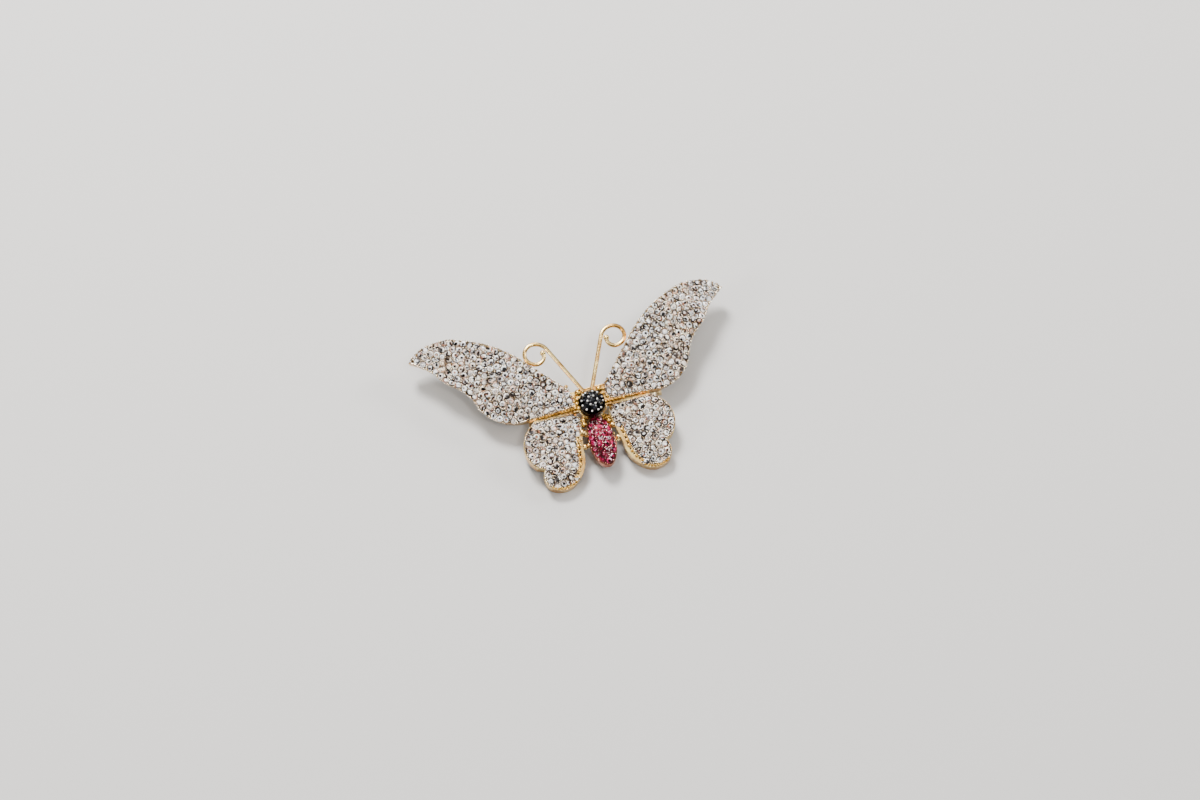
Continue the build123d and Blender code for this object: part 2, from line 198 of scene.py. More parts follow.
@dataclass(frozen=True)
class PolishedMetal:
    """A cast metal that was filed, polished and a little worn.

    To the eye its colour drifts between a clean and a deep tone over a few millimetres, its gloss is broken
    by polishing streaks, and its edges catch the light because they are rubbed round.
    """

    name: str
    clean: str
    deep: str
    roughness: float
    blotch_mm: float = 3.0
    streak_mm: float = 0.2  # real polishing lines are finer, and are drawn as coarse as they need to show
    edge_mm: float = 0.07
    relief: float = 0.05

    def make(self) -> bpy.types.Material:
        """Makes the material."""
        material, shader = new_material(self.name)
        place = add_node(material, "ShaderNodeTexCoord").outputs["Object"]
        blotches = add_node(
            material, "ShaderNodeTexNoise", {"Vector": place}, Scale=1 / (self.blotch_mm * MM), Detail=3.0
        ).outputs["Fac"]
        lines = add_node(
            material,
            "ShaderNodeMapping",
            {"Vector": place},
            Scale=(0.25, 1.0, 1.0),
            Rotation=(0.3, 0.2, 0.6),
        ).outputs["Vector"]
        streaks = add_node(
            material, "ShaderNodeTexNoise", {"Vector": lines}, Scale=1 / (self.streak_mm * MM), Detail=4.0
        ).outputs["Fac"]
        tone = add_node(material, "ShaderNodeValToRGB", {"Fac": blotches})
        tone.color_ramp.elements[0].position = 0.35
        tone.color_ramp.elements[0].color = linear(self.deep)
        tone.color_ramp.elements[1].position = 0.6
        tone.color_ramp.elements[1].color = linear(self.clean)
        gloss = add_node(
            material,
            "ShaderNodeMapRange",
            {"Value": streaks},
            From_Min=0.3,
            From_Max=0.7,
            To_Min=self.roughness * 0.6,
            To_Max=self.roughness * 1.5,
        )
        rounded = add_node(material, "ShaderNodeBevel", samples=6, Radius=self.edge_mm * MM)
        bump = add_node(
            material,
            "ShaderNodeBump",
            {"Height": streaks, "Normal": rounded.outputs["Normal"]},
            Strength=self.relief,
            Distance=0.02 * MM,
        )
        links = material.node_tree.links
        links.new(tone.outputs["Color"], shader.inputs["Base Color"])
        links.new(gloss.outputs["Result"], shader.inputs["Roughness"])
        links.new(bump.outputs["Normal"], shader.inputs["Normal"])
        shader.inputs["Metallic"].default_value = 1.0
        return material


@dataclass(frozen=True)
class CutGem:
    """A cut and polished stone. To the eye each facet sends back another part of the stone's inside, and that
    light and shade is painted.

    So each has a tone of its own, the attribute painted_facet_light, and the shader adds the hard outer
    gloss.
    """

    name: str
    ior: float
    roughness: float

    def make(self) -> bpy.types.Material:
        """Makes the material."""
        material, shader = new_material(self.name)
        tone = add_node(material, "ShaderNodeAttribute", attribute_name="painted_facet_light")
        material.node_tree.links.new(tone.outputs["Color"], shader.inputs["Base Color"])
        shader.inputs["Roughness"].default_value = self.roughness
        shader.inputs["IOR"].default_value = self.ior
        return material


class Finish(Enum):
    """The finishes of the brooch, by what each real one is, with painted light and shade in some of their
    colours.
    """

    # Gold alloy, cast and hand polished: warm walls, wires and antennae, deeper where they have dulled
    YELLOW_GOLD = PolishedMetal("polished_yellow_gold", "#E9CC88", "#C6924A", roughness=0.24)
    # The same alloy in a stronger yellow, drifting to brown in blotches under a millimetre wide
    DEEP_GOLD = PolishedMetal("cast_yellow_gold", "#D6AA58", "#926626", roughness=0.24, blotch_mm=0.9)
    # Beaded wire in the seam between the wings: the brownest of the golds, with small bright blotches; its
    # brown is painted shade of the seam
    SEAM_GOLD = PolishedMetal("seam_gold_painted_shade", "#C29040", "#6A4416", roughness=0.26, blotch_mm=0.7)
    # A drawn sleeve with a satin gloss: broad highlights, no mirror image, and a pale cream colour that is
    # painted light
    SATIN_GOLD = PolishedMetal("satin_gold_painted_light", "#F6E6BE", "#E2C68E", roughness=0.3)
    # Gold cut by a drill, near black: painted shade from the stones over it, the dark that sets off each
    # white stone
    BED_GOLD = PolishedMetal("drilled_gold_painted_shade", "#47382B", "#19120D", roughness=0.4, edge_mm=0.03)
    # Beads raised with a hollow punch: pale cream and brown from bead to bead, as painted highlights and
    # painted shade
    BEAD_GOLD = PolishedMetal("raised_bead_gold", "#EBDCC6", "#7E6448", roughness=0.2, blotch_mm=0.5)
    # The bottoms of drilled holes and the tips' hollows: a dull brown with no shine, painted shade
    PIT_GOLD = PolishedMetal("shaded_gold_pits", "#4A3216", "#23140A", roughness=0.5, edge_mm=0.03)
    # Copper-rich gold, cast and polished: a pinkish rim round the abdomen
    ROSE_GOLD = PolishedMetal("polished_rose_gold", "#CF8A6C", "#8E4632", roughness=0.24)
    # The same alloy between the rubies: wine red, nearly black in its depths; the red is a painted reflection
    # of the rubies and the dark is painted shade
    BED_ROSE = PolishedMetal("shaded_rose_gold", "#5E1E26", "#2C080E", roughness=0.35, edge_mm=0.03)
    # Beads raised between the rubies: small pale pink points, their paleness a painted highlight
    BEAD_ROSE = PolishedMetal("raised_bead_rose_gold", "#F2C4B4", "#C8806E", roughness=0.16, edge_mm=0.03)
    # Black electroplate on polished gold: nearly black, with a gloss that shows how the head is rounded
    BLACK_RHODIUM = PolishedMetal("black_rhodium_plate", "#0D0B0B", "#050505", roughness=0.24)
    # Beads on the head, plated black like it: small whitish points among the black stones, their whitish
    # colour a painted highlight
    HEAD_BEAD_HIGHLIGHT = PolishedMetal("head_beads_painted_highlight", "#FBF6F0", "#DAD2CC", roughness=0.36, edge_mm=0.03)
    # White zircon, cut and polished: a glitter of white, grey and black facets, painted light and shade in
    # their tones
    WHITE_GEM = CutGem("white_zircon_facets", ior=1.45, roughness=0.06)
    # Black spinel, cut and polished: dark all over, with a cold gleam on its tables
    BLACK_GEM = CutGem("black_spinel_facets", ior=1.36, roughness=0.06)
    # Ruby, cut and polished: deep pinkish red beside facets that are almost black, painted light and shade in
    # their tones
    RUBY_GEM = CutGem("ruby_facets", ior=1.48, roughness=0.1)


@dataclass(frozen=True)
class GemTones:
    """How the painted light and shade of one kind of stone's facets vary, as sRGB colours and the share of
    patches that have each.
    """

    colours: tuple[str, ...]
    shares: tuple[float, ...]
    stone_spread: float  # how much lighter or darker one whole stone is than another
    table_spread: float = 0.0  # how much a stone's table may be darker than its crown
    # The girdle's darker facets are painted shade
    edge_shade: float = 0.0  # how much darker the facets along the girdle may be
    dark_middles: float = 0.0  # the share of stones whose middle shows the dark colour, the last but two
    warmth: float = 0.0  # how much yellower whole patches of stones are than others
    patch_mm: float = 3.5  # about how wide such a patch is

    def paint(self, places: np.ndarray, seed: int) -> np.ndarray:
        """Draws a tone for each patch of facets of each stone.

        The warmth is the mean of three slow waves over the places, so neighbours are warm together.

        Args:
            places: The stones' places.
            seed: The seed of the random draws.

        Returns:
            Linear colours with alpha, one for each stone and patch.
        """
        draw = np.random.default_rng(seed)
        stones = len(places)
        palette = np.array([linear(colour) for colour in self.colours])
        picked = palette[draw.choice(len(palette), size=(stones, PATCHES), p=self.shares)]
        middles = draw.random(stones) < self.dark_middles
        picked[middles, 0] = palette[-3]
        lightness = draw.uniform(1 - self.stone_spread, 1 + self.stone_spread, size=(stones, 1, 1))
        grain = draw.uniform(1 - PATCH_SPREAD, 1 + PATCH_SPREAD, size=(stones, PATCHES, 1))
        grain[:, TABLE_PATCHES] *= draw.uniform(1 - self.table_spread, LIGHTEST_TABLE, size=(stones, 1, 1))
        shade = self.edge_shade * draw.uniform(LEAST_EDGE_SHADE, 1.0, size=(stones, 4, 1))
        grain[:, GIRDLE_PATCHES] *= 1 - shade
        slopes = draw.normal(0, 2 / self.patch_mm, size=(3, 3))
        phases = draw.uniform(0, PHASES, 3)
        waves = np.sin(places @ slopes + phases)
        warm = self.warmth * (0.5 + 0.5 * waves.mean(-1)) * draw.uniform(*WARMTH_RANGE, stones)
        tint = 1 - warm[:, None, None] * TINT
        picked[..., :3] = np.clip(picked[..., :3] * lightness * grain * tint, 0.0, 1.0)
        return picked


# Facet colours of each kind of stone: painted light, reflections and shade
WHITE_TONES = GemTones(
    colours=("#FFFFFF", "#E4DEDE", "#B0A4A2", "#7C706C", "#463C38", "#14110F", "#E0BCA8", "#946450"),
    shares=(0.4, 0.06, 0.05, 0.05, 0.1, 0.25, 0.06, 0.03),
    stone_spread=0.24,
    table_spread=0.5,
    edge_shade=0.94,
    dark_middles=0.4,
    warmth=0.35,
)
BLACK_TONES = GemTones(colours=("#050507", "#101014", "#2A2A30"), shares=(0.6, 0.3, 0.1), stone_spread=0.2)
RUBY_TONES = GemTones(
    colours=("#4A0610", "#820A28", "#B41A52", "#DC4C80", "#200107", "#F4B0BE"),
    shares=(0.3, 0.22, 0.14, 0.05, 0.25, 0.04),
    stone_spread=0.3,
    table_spread=0.4,
    edge_shade=0.5,
)


class Brilliant:
    """A round stone of width 1 with a table, star, main and girdle facets, and a pointed back.

    Points lie on rings about the axis: a ring inside the table, the table's eight corners, eight points
    half-way down the crown, sixteen on the girdle, and the point of the back. Each facet joins neighbours on
    two rings. The table is divided too and its middle is a little lower, because the facets of the back show
    through it. Neighbouring facets are grouped in patches that have one tone: the table's middle, four round
    it, four on the crown, four along the girdle and eight on the back.
    """

    def __init__(self) -> None:
        """Works out the points, the triangles and the patch that each triangle belongs to."""

        def ring(count: int, turn: float, radius: float, height: float) -> np.ndarray:
            """Points evenly round the axis."""
            return polar(radius, (np.arange(count) + turn) * 2 * np.pi / count, height)

        table = TABLE_SHARE / 2
        self.points = np.concatenate([
            [[0.0, 0.0, CROWN_SHARE - TABLE_DIP]],
            ring(8, 0.0, table * INNER_TABLE_SHARE, CROWN_SHARE),
            ring(8, 0.5, table, CROWN_SHARE),
            ring(8, 0.0, CROWN_MIDDLE_RADIUS, CROWN_SHARE * CROWN_MIDDLE_SHARE),
            ring(16, 0.0, 0.5, 0.0),
            [[0.0, 0.0, -PAVILION_SHARE]],
        ])
        inner_at, corner_at, middle_at, girdle_at, point_at = np.cumsum([1, 8, 8, 8, 16])
        step, rim = np.arange(8), np.arange(16)
        centre, inner, corner, middle = 0 * step, inner_at + step, corner_at + step, middle_at + step
        inner_next, middle_next, corner_before = np.roll(inner, -1), np.roll(middle, -1), np.roll(corner, 1)
        girdle, girdle_next = girdle_at + 2 * step, girdle_at + 2 * step + 1
        girdle_before = girdle_at + (2 * step - 1) % 16
        on_middle, on_table, on_crown = 0 * step, 1 + (step + 1) % 8 // 2, 5 + step // 2
        on_girdle, on_back = 9 + step // 2, 13 + rim // 2
        blocks = [
            (centre, inner, inner_next, on_middle),
            (inner, corner, inner_next, on_table),
            (inner, corner_before, corner, on_table),
            (corner_before, middle, corner, on_crown),
            (corner, middle, girdle_next, on_crown),
            (corner, girdle_next, middle_next, on_crown),
            (middle, girdle_before, girdle, on_girdle),
            (middle, girdle, girdle_next, on_girdle),
            (girdle_at + rim, np.full(16, point_at), girdle_at + (rim + 1) % 16, on_back),
        ]
        self.triangles = np.concatenate([np.stack(block[:3], axis=-1) for block in blocks])
        self.patch = np.concatenate([block[3] for block in blocks])


BRILLIANT = Brilliant()


def frames_about(normals: np.ndarray, turns: np.ndarray) -> np.ndarray:
    """Gives each stone or bead its own axes.

    Args:
        normals: The direction that each one's front faces.
        turns: How far each is turned about that direction, in radians.

    Returns:
        Matrices whose columns are the side, the other side and the front.
    """
    side = unit(np.cross(np.array([0.0, 1.0, 0.0]), normals))
    other = np.cross(normals, side)
    cosine, sine = np.cos(turns)[:, None], np.sin(turns)[:, None]
    return np.stack([side * cosine + other * sine, other * cosine - side * sine, normals], axis=-1)


def set_stones(
    name: str, centres: np.ndarray, normals: np.ndarray, widths: np.ndarray, tones: GemTones, seed: int
) -> bpy.types.Object:
    """Copies the cut stone to many places as one piece, each a little out of true as set stones are.

    Args:
        name: The piece's name.
        centres: The middle of each stone's girdle.
        normals: The direction that each table faces.
        widths: Each stone's width.
        tones: How the facets vary.
        seed: The seed of the turns, leans and tones.

    Returns:
        The piece, with each facet's painted light and shade in the attribute painted_facet_light on its
        faces.
    """
    count = len(centres)
    draw = np.random.default_rng(seed)
    leaning = unit(normals + draw.normal(0, STONE_LEAN, (count, 3)))
    axes = frames_about(leaning, draw.uniform(0, 2 * np.pi, count))
    points = centres[:, None] + np.einsum("nij,kj->nki", axes, BRILLIANT.points) * widths[:, None, None]
    faces = BRILLIANT.triangles[None] + (np.arange(count) * len(BRILLIANT.points))[:, None, None]
    piece = add_object(name, points.reshape(-1, 3), [faces.reshape(-1, 3)], smooth=False)
    # Each facet's colour is painted light and shade: glitter, reflections and a dark girdle
    colours = tones.paint(centres, seed + 1)[:, BRILLIANT.patch]
    layer = piece.data.attributes.new("painted_facet_light", "FLOAT_COLOR", "FACE")
    layer.data.foreach_set("color", colours.astype(np.float32).ravel())
    return piece


def set_beads(
    name: str,
    centres: np.ndarray,
    normals: np.ndarray,
    radii: np.ndarray,
    height: float = 0.85,
    around: int = 8,
) -> bpy.types.Object:
    """Copies a small round bead to many places as one piece.

    A bead is a sphere with half as many levels as it has points round it, pressed along its normal to a
    share of its height.

    Args:
        name: The piece's name.
        centres: The middle of each bead.
        normals: The direction that each faces.
        radii: Each bead's radius.
        height: Its height as a share of its width.
        around: How many points it has round it.

    Returns:
        The piece.
    """
    rings = around // 2 - 1
    turn = np.arange(around) * 2 * np.pi / around
    dip = ((np.arange(rings) + 1) * np.pi / (rings + 1))[:, None]
    grid = polar(np.sin(dip), turn, np.cos(dip))
    bead = np.concatenate([[[0, 0, 1.0]], grid.reshape(-1, 3), [[0, 0, -1.0]]]) * [1, 1, height]
    here, ahead = np.arange(around), (np.arange(around) + 1) % around
    top = np.stack([np.zeros(around, int), 1 + here, 1 + ahead], axis=-1)
    last = 1 + (rings - 1) * around
    bottom = np.stack([np.full(around, 1 + rings * around), last + ahead, last + here], axis=-1)
    rows = (1 + np.arange(rings - 1) * around)[:, None]
    band = np.stack([rows + here, rows + around + here, rows + around + ahead, rows + ahead], axis=-1)
    count = len(centres)
    axes = frames_about(normals, np.zeros(count))
    points = centres[:, None] + np.einsum("nij,kj->nki", axes, bead) * radii[:, None, None]
    shift = (np.arange(count) * len(bead))[:, None, None]
    blocks = (top, band.reshape(-1, 4), bottom)
    faces = [(block[None] + shift).reshape(-1, block.shape[1]) for block in blocks]
    return add_object(name, points.reshape(-1, 3), faces, smooth=True)


def sweep_tube(name: str, path: np.ndarray, radii: np.ndarray, around: int = 12) -> bpy.types.Object:
    """Makes a closed round tube along a path, as thick at each point as its radius there.

    Each ring is a circle across the path's direction, drawn on the level sideways direction and the one at
    right angles to both. Each end closes in a point on the path.

    Args:
        name: The piece's name.
        path: The middle of the tube as rows.
        radii: Its radius at each row.
        around: How many points a ring has.

    Returns:
        The tube.
    """
    along = unit(np.gradient(path, axis=0))
    side = unit(np.cross([0.0, 0.0, 1.0], along))
    across = np.stack([side, np.cross(along, side)], axis=1)
    turn = np.arange(around) * 2 * np.pi / around
    circle = np.stack([np.cos(turn), np.sin(turn)], axis=-1)
    rings = path[:, None] + radii[:, None, None] * np.einsum("kj,nji->nki", circle, across)
    here = (np.arange(len(path) - 1) * around)[:, None]
    step, ahead = np.arange(around), (np.arange(around) + 1) % around
    band = np.stack([here + step, here + ahead, here + around + ahead, here + around + step], axis=-1)
    first, last = len(path) * around, (len(path) - 1) * around
    start = np.stack([np.full(around, first), ahead, step], axis=-1)
    end = np.stack([np.full(around, first + 1), last + step, last + ahead], axis=-1)
    points = np.concatenate([rings.reshape(-1, 3), path[[0, -1]]])
    return add_object(name, points, [band.reshape(-1, 4), start, end], smooth=True)


# The materials made so far
MADE: dict[Finish, bpy.types.Material] = {}


def wear(piece: bpy.types.Object, finish: Finish) -> None:
    """Gives a piece or a solid its finish, whose material is made the first time that it is asked for.

    Args:
        piece: The object.
        finish: Its finish.
    """
    if finish not in MADE:
        MADE[finish] = finish.value.make()
    piece.data.materials.clear()
    piece.data.materials.append(MADE[finish])


@dataclass(frozen=True)
class Stretch:
    """One stretch of a wing's outline, in shares of its reach and rise, straight where it has no via."""

    end: tuple[float, float]
    via: tuple[float, float] | None = None


OUTLINE_STEP = 0.15  # how far apart an outline's points are
FOREWING_START = (0.103, 0.022)
FOREWING_OUTLINE = (
    Stretch(end=(0.364, 0.007)),
    Stretch(via=(0.570, 0.089), end=(0.661, 0.260)),
    Stretch(via=(0.695, 0.399), end=(0.777, 0.545)),
    Stretch(via=(0.823, 0.619), end=(0.855, 0.702)),
    Stretch(via=(0.906, 0.790), end=(1.000, 0.901)),
    Stretch(via=(0.868, 1.000), end=(0.671, 0.953)),
    Stretch(via=(0.471, 0.780), end=(0.313, 0.535)),
    Stretch(end=(0.115, 0.171)),
)
HINDWING_START = (0.186, -0.125)
HINDWING_OUTLINE = (
    Stretch(end=(0.275, -0.046)),
    Stretch(end=(0.731, -0.036)),
    Stretch(via=(0.784, -0.049), end=(0.829, -0.076)),
    Stretch(via=(1.000, -0.414), end=(0.894, -0.646)),
    Stretch(end=(0.812, -0.679)),
    Stretch(via=(0.842, -0.806), end=(0.780, -0.946)),
    Stretch(via=(0.617, -1.000), end=(0.438, -0.939)),
    Stretch(via=(0.316, -0.801), end=(0.260, -0.572)),
)


def arc_points(start: np.ndarray, via: np.ndarray, end: np.ndarray, count: int) -> np.ndarray:
    """Points along the circle through three points, from the first towards the last.

    The middle of the circle is where the two chords' perpendicular bisectors meet.

    Args:
        start: Where the arc starts.
        via: A point that it passes through.
        end: Where it ends.
        count: How many points it gets, without the end.

    Returns:
        The points, in order.
    """
    chords = 2 * np.array([via - start, end - start])
    middle = np.linalg.solve(chords, np.array([via @ via - start @ start, end @ end - start @ start]))
    first = start - middle
    beside = np.array([-first[1], first[0]])
    to_via, to_end = (
        np.arctan2(beside @ point, first @ point) % (2 * np.pi) for point in (via - middle, end - middle)
    )
    sweep = to_end if to_via < to_end else to_end - 2 * np.pi
    angle = np.linspace(0, sweep, count, endpoint=False)
    return middle + first * np.cos(angle)[:, None] + beside * np.sin(angle)[:, None]


class Packing:
    """Fills a region with round places: equal ones from its edge inwards, and then smaller ones in the gaps.

    A fine grid of points knows how far each lies inside the region, and how much room it has to the nearest
    circle that is placed already.
    """

    UNEVENNESS = 0.12  # how far the rows may stray from even ones
    ROOM_WEIGHT = 1.3  # how much a close neighbour counts for, against a place near the edge
    MOST_ROOM = 4.0  # past which more room makes no difference

    def __init__(self, grid: np.ndarray, inside: np.ndarray, seed: int) -> None:
        """Starts with no circle placed.

        Args:
            grid: Points as rows.
            inside: How far each lies inside the region.
            seed: The seed of the small unevenness of the rows.
        """
        self.grid = grid[inside > 0.0]
        self.inside = inside[inside > 0.0]
        self.room = np.full(len(self.grid), np.inf)
        self.uneven = np.random.default_rng(seed).uniform(0, self.UNEVENNESS, len(self.grid))

    def _place(self, index: int, radius: float) -> None:
        """Takes away the room that one circle fills."""
        self.room = np.minimum(self.room, np.linalg.norm(self.grid - self.grid[index], axis=-1) - radius)

    def lay_rows(self, radius: float, gap: float) -> tuple[np.ndarray, np.ndarray]:
        """Lays equal circles as a setter does: along the edge first, and each close to the last ones.

        The next circle is the free point with the least sum of its distance inside and its spare room.

        Args:
            radius: The circles' radius.
            gap: The gap between two of them.

        Returns:
            Their places and radii.
        """
        chosen = []
        while True:
            free = (self.inside >= radius) & (self.room >= radius + gap)
            if not free.any():
                break
            cost = self.inside + self.ROOM_WEIGHT * np.minimum(self.room, self.MOST_ROOM) + self.uneven
            best = int(np.argmin(np.where(free, cost, np.inf)))
            chosen.append(best)
            self._place(best, radius)
        return self.grid[chosen], np.full(len(chosen), radius)

    def fill_gaps(
        self, least: float, most: float, gap: float, overhang: float = 0.0
    ) -> tuple[np.ndarray, np.ndarray]:
        """Puts ever smaller circles where there is most room.

        Args:
            least: The smallest radius.
            most: The largest radius.
            gap: The gap to a neighbour, negative where it may overlap.
            overhang: How far a circle may stand over the region's edge.

        Returns:
            Their places and radii.
        """
        chosen, radii = [], []
        while True:
            fits = np.minimum(self.room - gap, self.inside + overhang)
            best = int(np.argmax(fits))
            if fits[best] < least:
                break
            chosen.append(best)
            radii.append(min(float(fits[best]), most))
            self._place(best, radii[-1])
        return self.grid[chosen], np.array(radii)


def edge_distance(polygon: np.ndarray, points: np.ndarray) -> np.ndarray:
    """How far points lie inside a closed line, negative outside it.

    The distance is to the nearest of the line's short straight pieces. A point is inside if a level line from
    it crosses the closed line an odd number of times.

    Args:
        polygon: The closed line's corners as rows.
        points: The points as rows.

    Returns:
        The distance of each.
    """
    tiny = 1e-12
    batch = 40
    following = np.roll(polygon, -1, axis=0)
    nearest = np.full(len(points), np.inf)
    crossings = np.zeros(len(points), int)
    level = points[:, None, 1]
    for first in range(0, len(polygon), batch):
        start, end = polygon[first:first + batch], following[first:first + batch]
        run = end - start
        away = points[:, None] - start
        share = np.clip((away * run).sum(-1) / np.maximum((run**2).sum(-1), tiny), 0, 1)
        nearest = np.minimum(nearest, np.linalg.norm(away - share[..., None] * run, axis=-1).min(-1))
        spans = (start[:, 1] > level) != (end[:, 1] > level)
        rise = np.where(np.abs(run[:, 1]) < tiny, tiny, run[:, 1])
        reach = start[:, 0] + (level - start[:, 1]) * run[:, 0] / rise
        crossings += (spans & (reach > points[:, None, 0])).sum(-1)
    return np.where(crossings % 2 == 1, nearest, -nearest)


@dataclass(frozen=True)
class DrilledBed:
    """How a field's bed is cut, in millimetres but for the cone's share."""

    cone_share: float = 0.9  # how deep the cone under a stone goes, as a share of the stone's radius
    below_girdles: float = 0.03
    over_solid: float = 0.03  # how far the bed stands over metal that is solid
    cup: float = 0.16  # how deep the cup behind each stone is
    past_field: float = 0.12  # how far the bed goes on under the rim
    off_edge: float = 0.04  # how far it keeps off the metal's outline
    step: float = 0.1


BED = DrilledBed()


@dataclass(kw_only=True)
class PaveField:
    """A field of stones set close together on a domed metal piece, with the beads that hold them.

    It is worked out on a plane of u and v. A level is a depth below the metal's surface there.
    """

    name: str
    node: str
    seed: int
    tones: GemTones
    gem: Finish
    bead: Finish
    bed: Finish
    gem_slot: str
    metal_slot: str
    stone_width: float
    stone_gap: float = 0.03
    smallest_filler: float = 0.42
    bead_radii: tuple[float, float] = (0.09, 0.16)
    bead_overlap: float = 0.06
    bead_overhang: float = 0.12
    bead_lift: float = 0.03  # how far the beads' middles stand over the stones' girdles
    girdle_level: float = 0.05
    bed_back: float = 1.16  # the level of the bed's back
    packing_step: float = 0.06
    flip: bool = False  # whether the plane is a mirror image, so that faces would point inwards

    @cached_property
    def polygon(self) -> np.ndarray:
        """The metal piece's outline, worked out once."""
        return self.outline_points()

    def outline_points(self) -> np.ndarray:
        """The metal piece's outline as a closed line, which each kind of piece works out."""
        raise NotImplementedError

    def on_dome(self, uv: np.ndarray, level: np.ndarray | float) -> tuple[np.ndarray, np.ndarray]:
        """Places and outward directions of points of the plane, which each kind of piece works out."""
        raise NotImplementedError

    def field_distance(self, uv: np.ndarray, edge: np.ndarray) -> np.ndarray:
        """How far points lie inside the part that carries stones, from their distance to the edge."""
        return edge

    def on_solid(self, uv: np.ndarray, edge: np.ndarray) -> np.ndarray:
        """Whether the metal under points is solid, so that stones stand on it and not in it."""
        return np.zeros(len(uv), bool)

    def grid(self, step: float) -> np.ndarray:
        """Points of a square grid over the outline, as an array of rows and columns."""
        low, high = self.polygon.min(0), self.polygon.max(0)
        lines = [np.arange(low[k], high[k], step) for k in (0, 1)]
        return np.stack(np.meshgrid(*lines, indexing="ij"), axis=-1)

    def seat_level(self, uv: np.ndarray) -> np.ndarray:
        """The level of a stone's girdle: in the bed, or just over the metal where that is solid."""
        return np.where(self.on_solid(uv, edge_distance(self.polygon, uv)), 0.0, self.girdle_level)

    def make_bed(self, places: np.ndarray, radii: np.ndarray) -> bpy.types.Object:
        """Makes the drilled bed, a closed plate whose edge is buried in the metal.

        The plate is a square grid kept inside the field. Its front lies just below the girdles and drops by
        the cone's depth times one less the distance from the stone's middle in radii. Its back rises by the
        cup's depth times one less that distance squared.

        Args:
            places: The stones' places.
            radii: Their radii.

        Returns:
            The bed.
        """
        grid = self.grid(BED.step)
        shape = grid.shape[:2]
        flat = grid.reshape(-1, 2)
        edge = edge_distance(self.polygon, flat)
        solid = self.on_solid(flat, edge)
        drop, cup = np.zeros(len(flat)), np.zeros(len(flat))
        for place, radius in zip(places, radii):
            away = np.linalg.norm(flat - place, axis=-1) / radius
            drop = np.maximum(drop, np.clip(1 - away, 0, 1) * radius * BED.cone_share)
            cup = np.maximum(cup, np.clip(1 - away**2, 0, 1) * BED.cup)
        front = np.where(solid, -BED.over_solid, self.girdle_level + BED.below_girdles + drop)
        back = self.bed_back + BED.cup - cup
        kept = (self.field_distance(flat, edge) > -BED.past_field) & (edge > BED.off_edge)
        kept = kept.reshape(shape)
        cells = kept[:-1, :-1] & kept[1:, :-1] & kept[:-1, 1:] & kept[1:, 1:]
        number = np.arange(len(flat)).reshape(shape)
        corner = (number[:-1, :-1], number[1:, :-1], number[1:, 1:], number[:-1, 1:])
        top = np.stack([block[cells] for block in corner], axis=-1)
        lower = len(flat)
        framed = np.pad(cells, 1)
        beside = (framed[1:-1, :-2], framed[2:, 1:-1], framed[1:-1, 2:], framed[:-2, 1:-1])
        walls = []
        for side, neighbour in enumerate(beside):
            bare = cells & ~neighbour
            start, end = corner[side][bare], corner[(side + 1) % 4][bare]
            walls.append(np.stack([end, start, start + lower, end + lower], axis=-1))
        faces = np.concatenate([top, top[:, ::-1] + lower, *walls])
        if self.flip:
            faces = faces[:, ::-1]
        used, compact = np.unique(faces, return_inverse=True)
        points = np.concatenate([self.on_dome(flat, front)[0], self.on_dome(flat, back)[0]])[used]
        return add_object(f"{self.name}_bed", points, [compact.reshape(faces.shape)], smooth=True)

    def dress(self) -> None:
        """Builds the stones, beads and bed and gives them their finishes."""
        flat = self.grid(self.packing_step).reshape(-1, 2)
        packing = Packing(flat, self.field_distance(flat, edge_distance(self.polygon, flat)), self.seed)
        main, main_radii = packing.lay_rows(self.stone_width / 2, self.stone_gap)
        widest = self.stone_width / 2
        small, small_radii = packing.fill_gaps(self.smallest_filler / 2, widest, self.stone_gap)
        beads, bead_radii = packing.fill_gaps(*self.bead_radii, -self.bead_overlap, self.bead_overhang)
        for part, places, radii, seed in (
            ("main", main, main_radii, self.seed),
            ("small", small, small_radii, self.seed + SMALL_STONES_SEED),
        ):
            centres, normals = self.on_dome(places, self.seat_level(places))
            name = f"{self.name}_{part}_stones"
            stones = set_stones(name, centres, normals, 2 * radii, self.tones, seed)
            wear(stones, self.gem)
            if part == "main":
                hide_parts(self.node)
        # The beads' pale and dark tones are painted highlights and painted shade
        centres, normals = self.on_dome(beads, self.seat_level(beads) - self.bead_lift)
        wear(set_beads(f"{self.name}_beads", centres, normals, bead_radii), self.bead)
        plate = self.make_bed(np.concatenate([main, small]), np.concatenate([main_radii, small_radii]))
        # The bed's dark colour is painted shade between the stones, and under the rubies also a painted red
        # reflection
        wear(plate, self.bed)
        LOG.info("%s: %d main stones, %d small ones, %d beads", self.name, len(main), len(small), len(beads))


@dataclass(frozen=True)
class TipForm:
    """A forewing's bare tip: a rim of wire round a flattened dark bead, painted shade of a hollow, in
    millimetres.
    """

    rim_run: float = 0.5  # how far the rim goes on along the stones
    rim_inset: float = 0.16
    rim_radius: float = 0.15
    rim_rise: float = 0.02
    hollow_inset: float = 0.62
    hollow_radius: float = 0.24
    hollow_share: float = 0.3  # the hollow's height as a share of its width
    hollow_level: float = 0.02


TIP = TipForm()


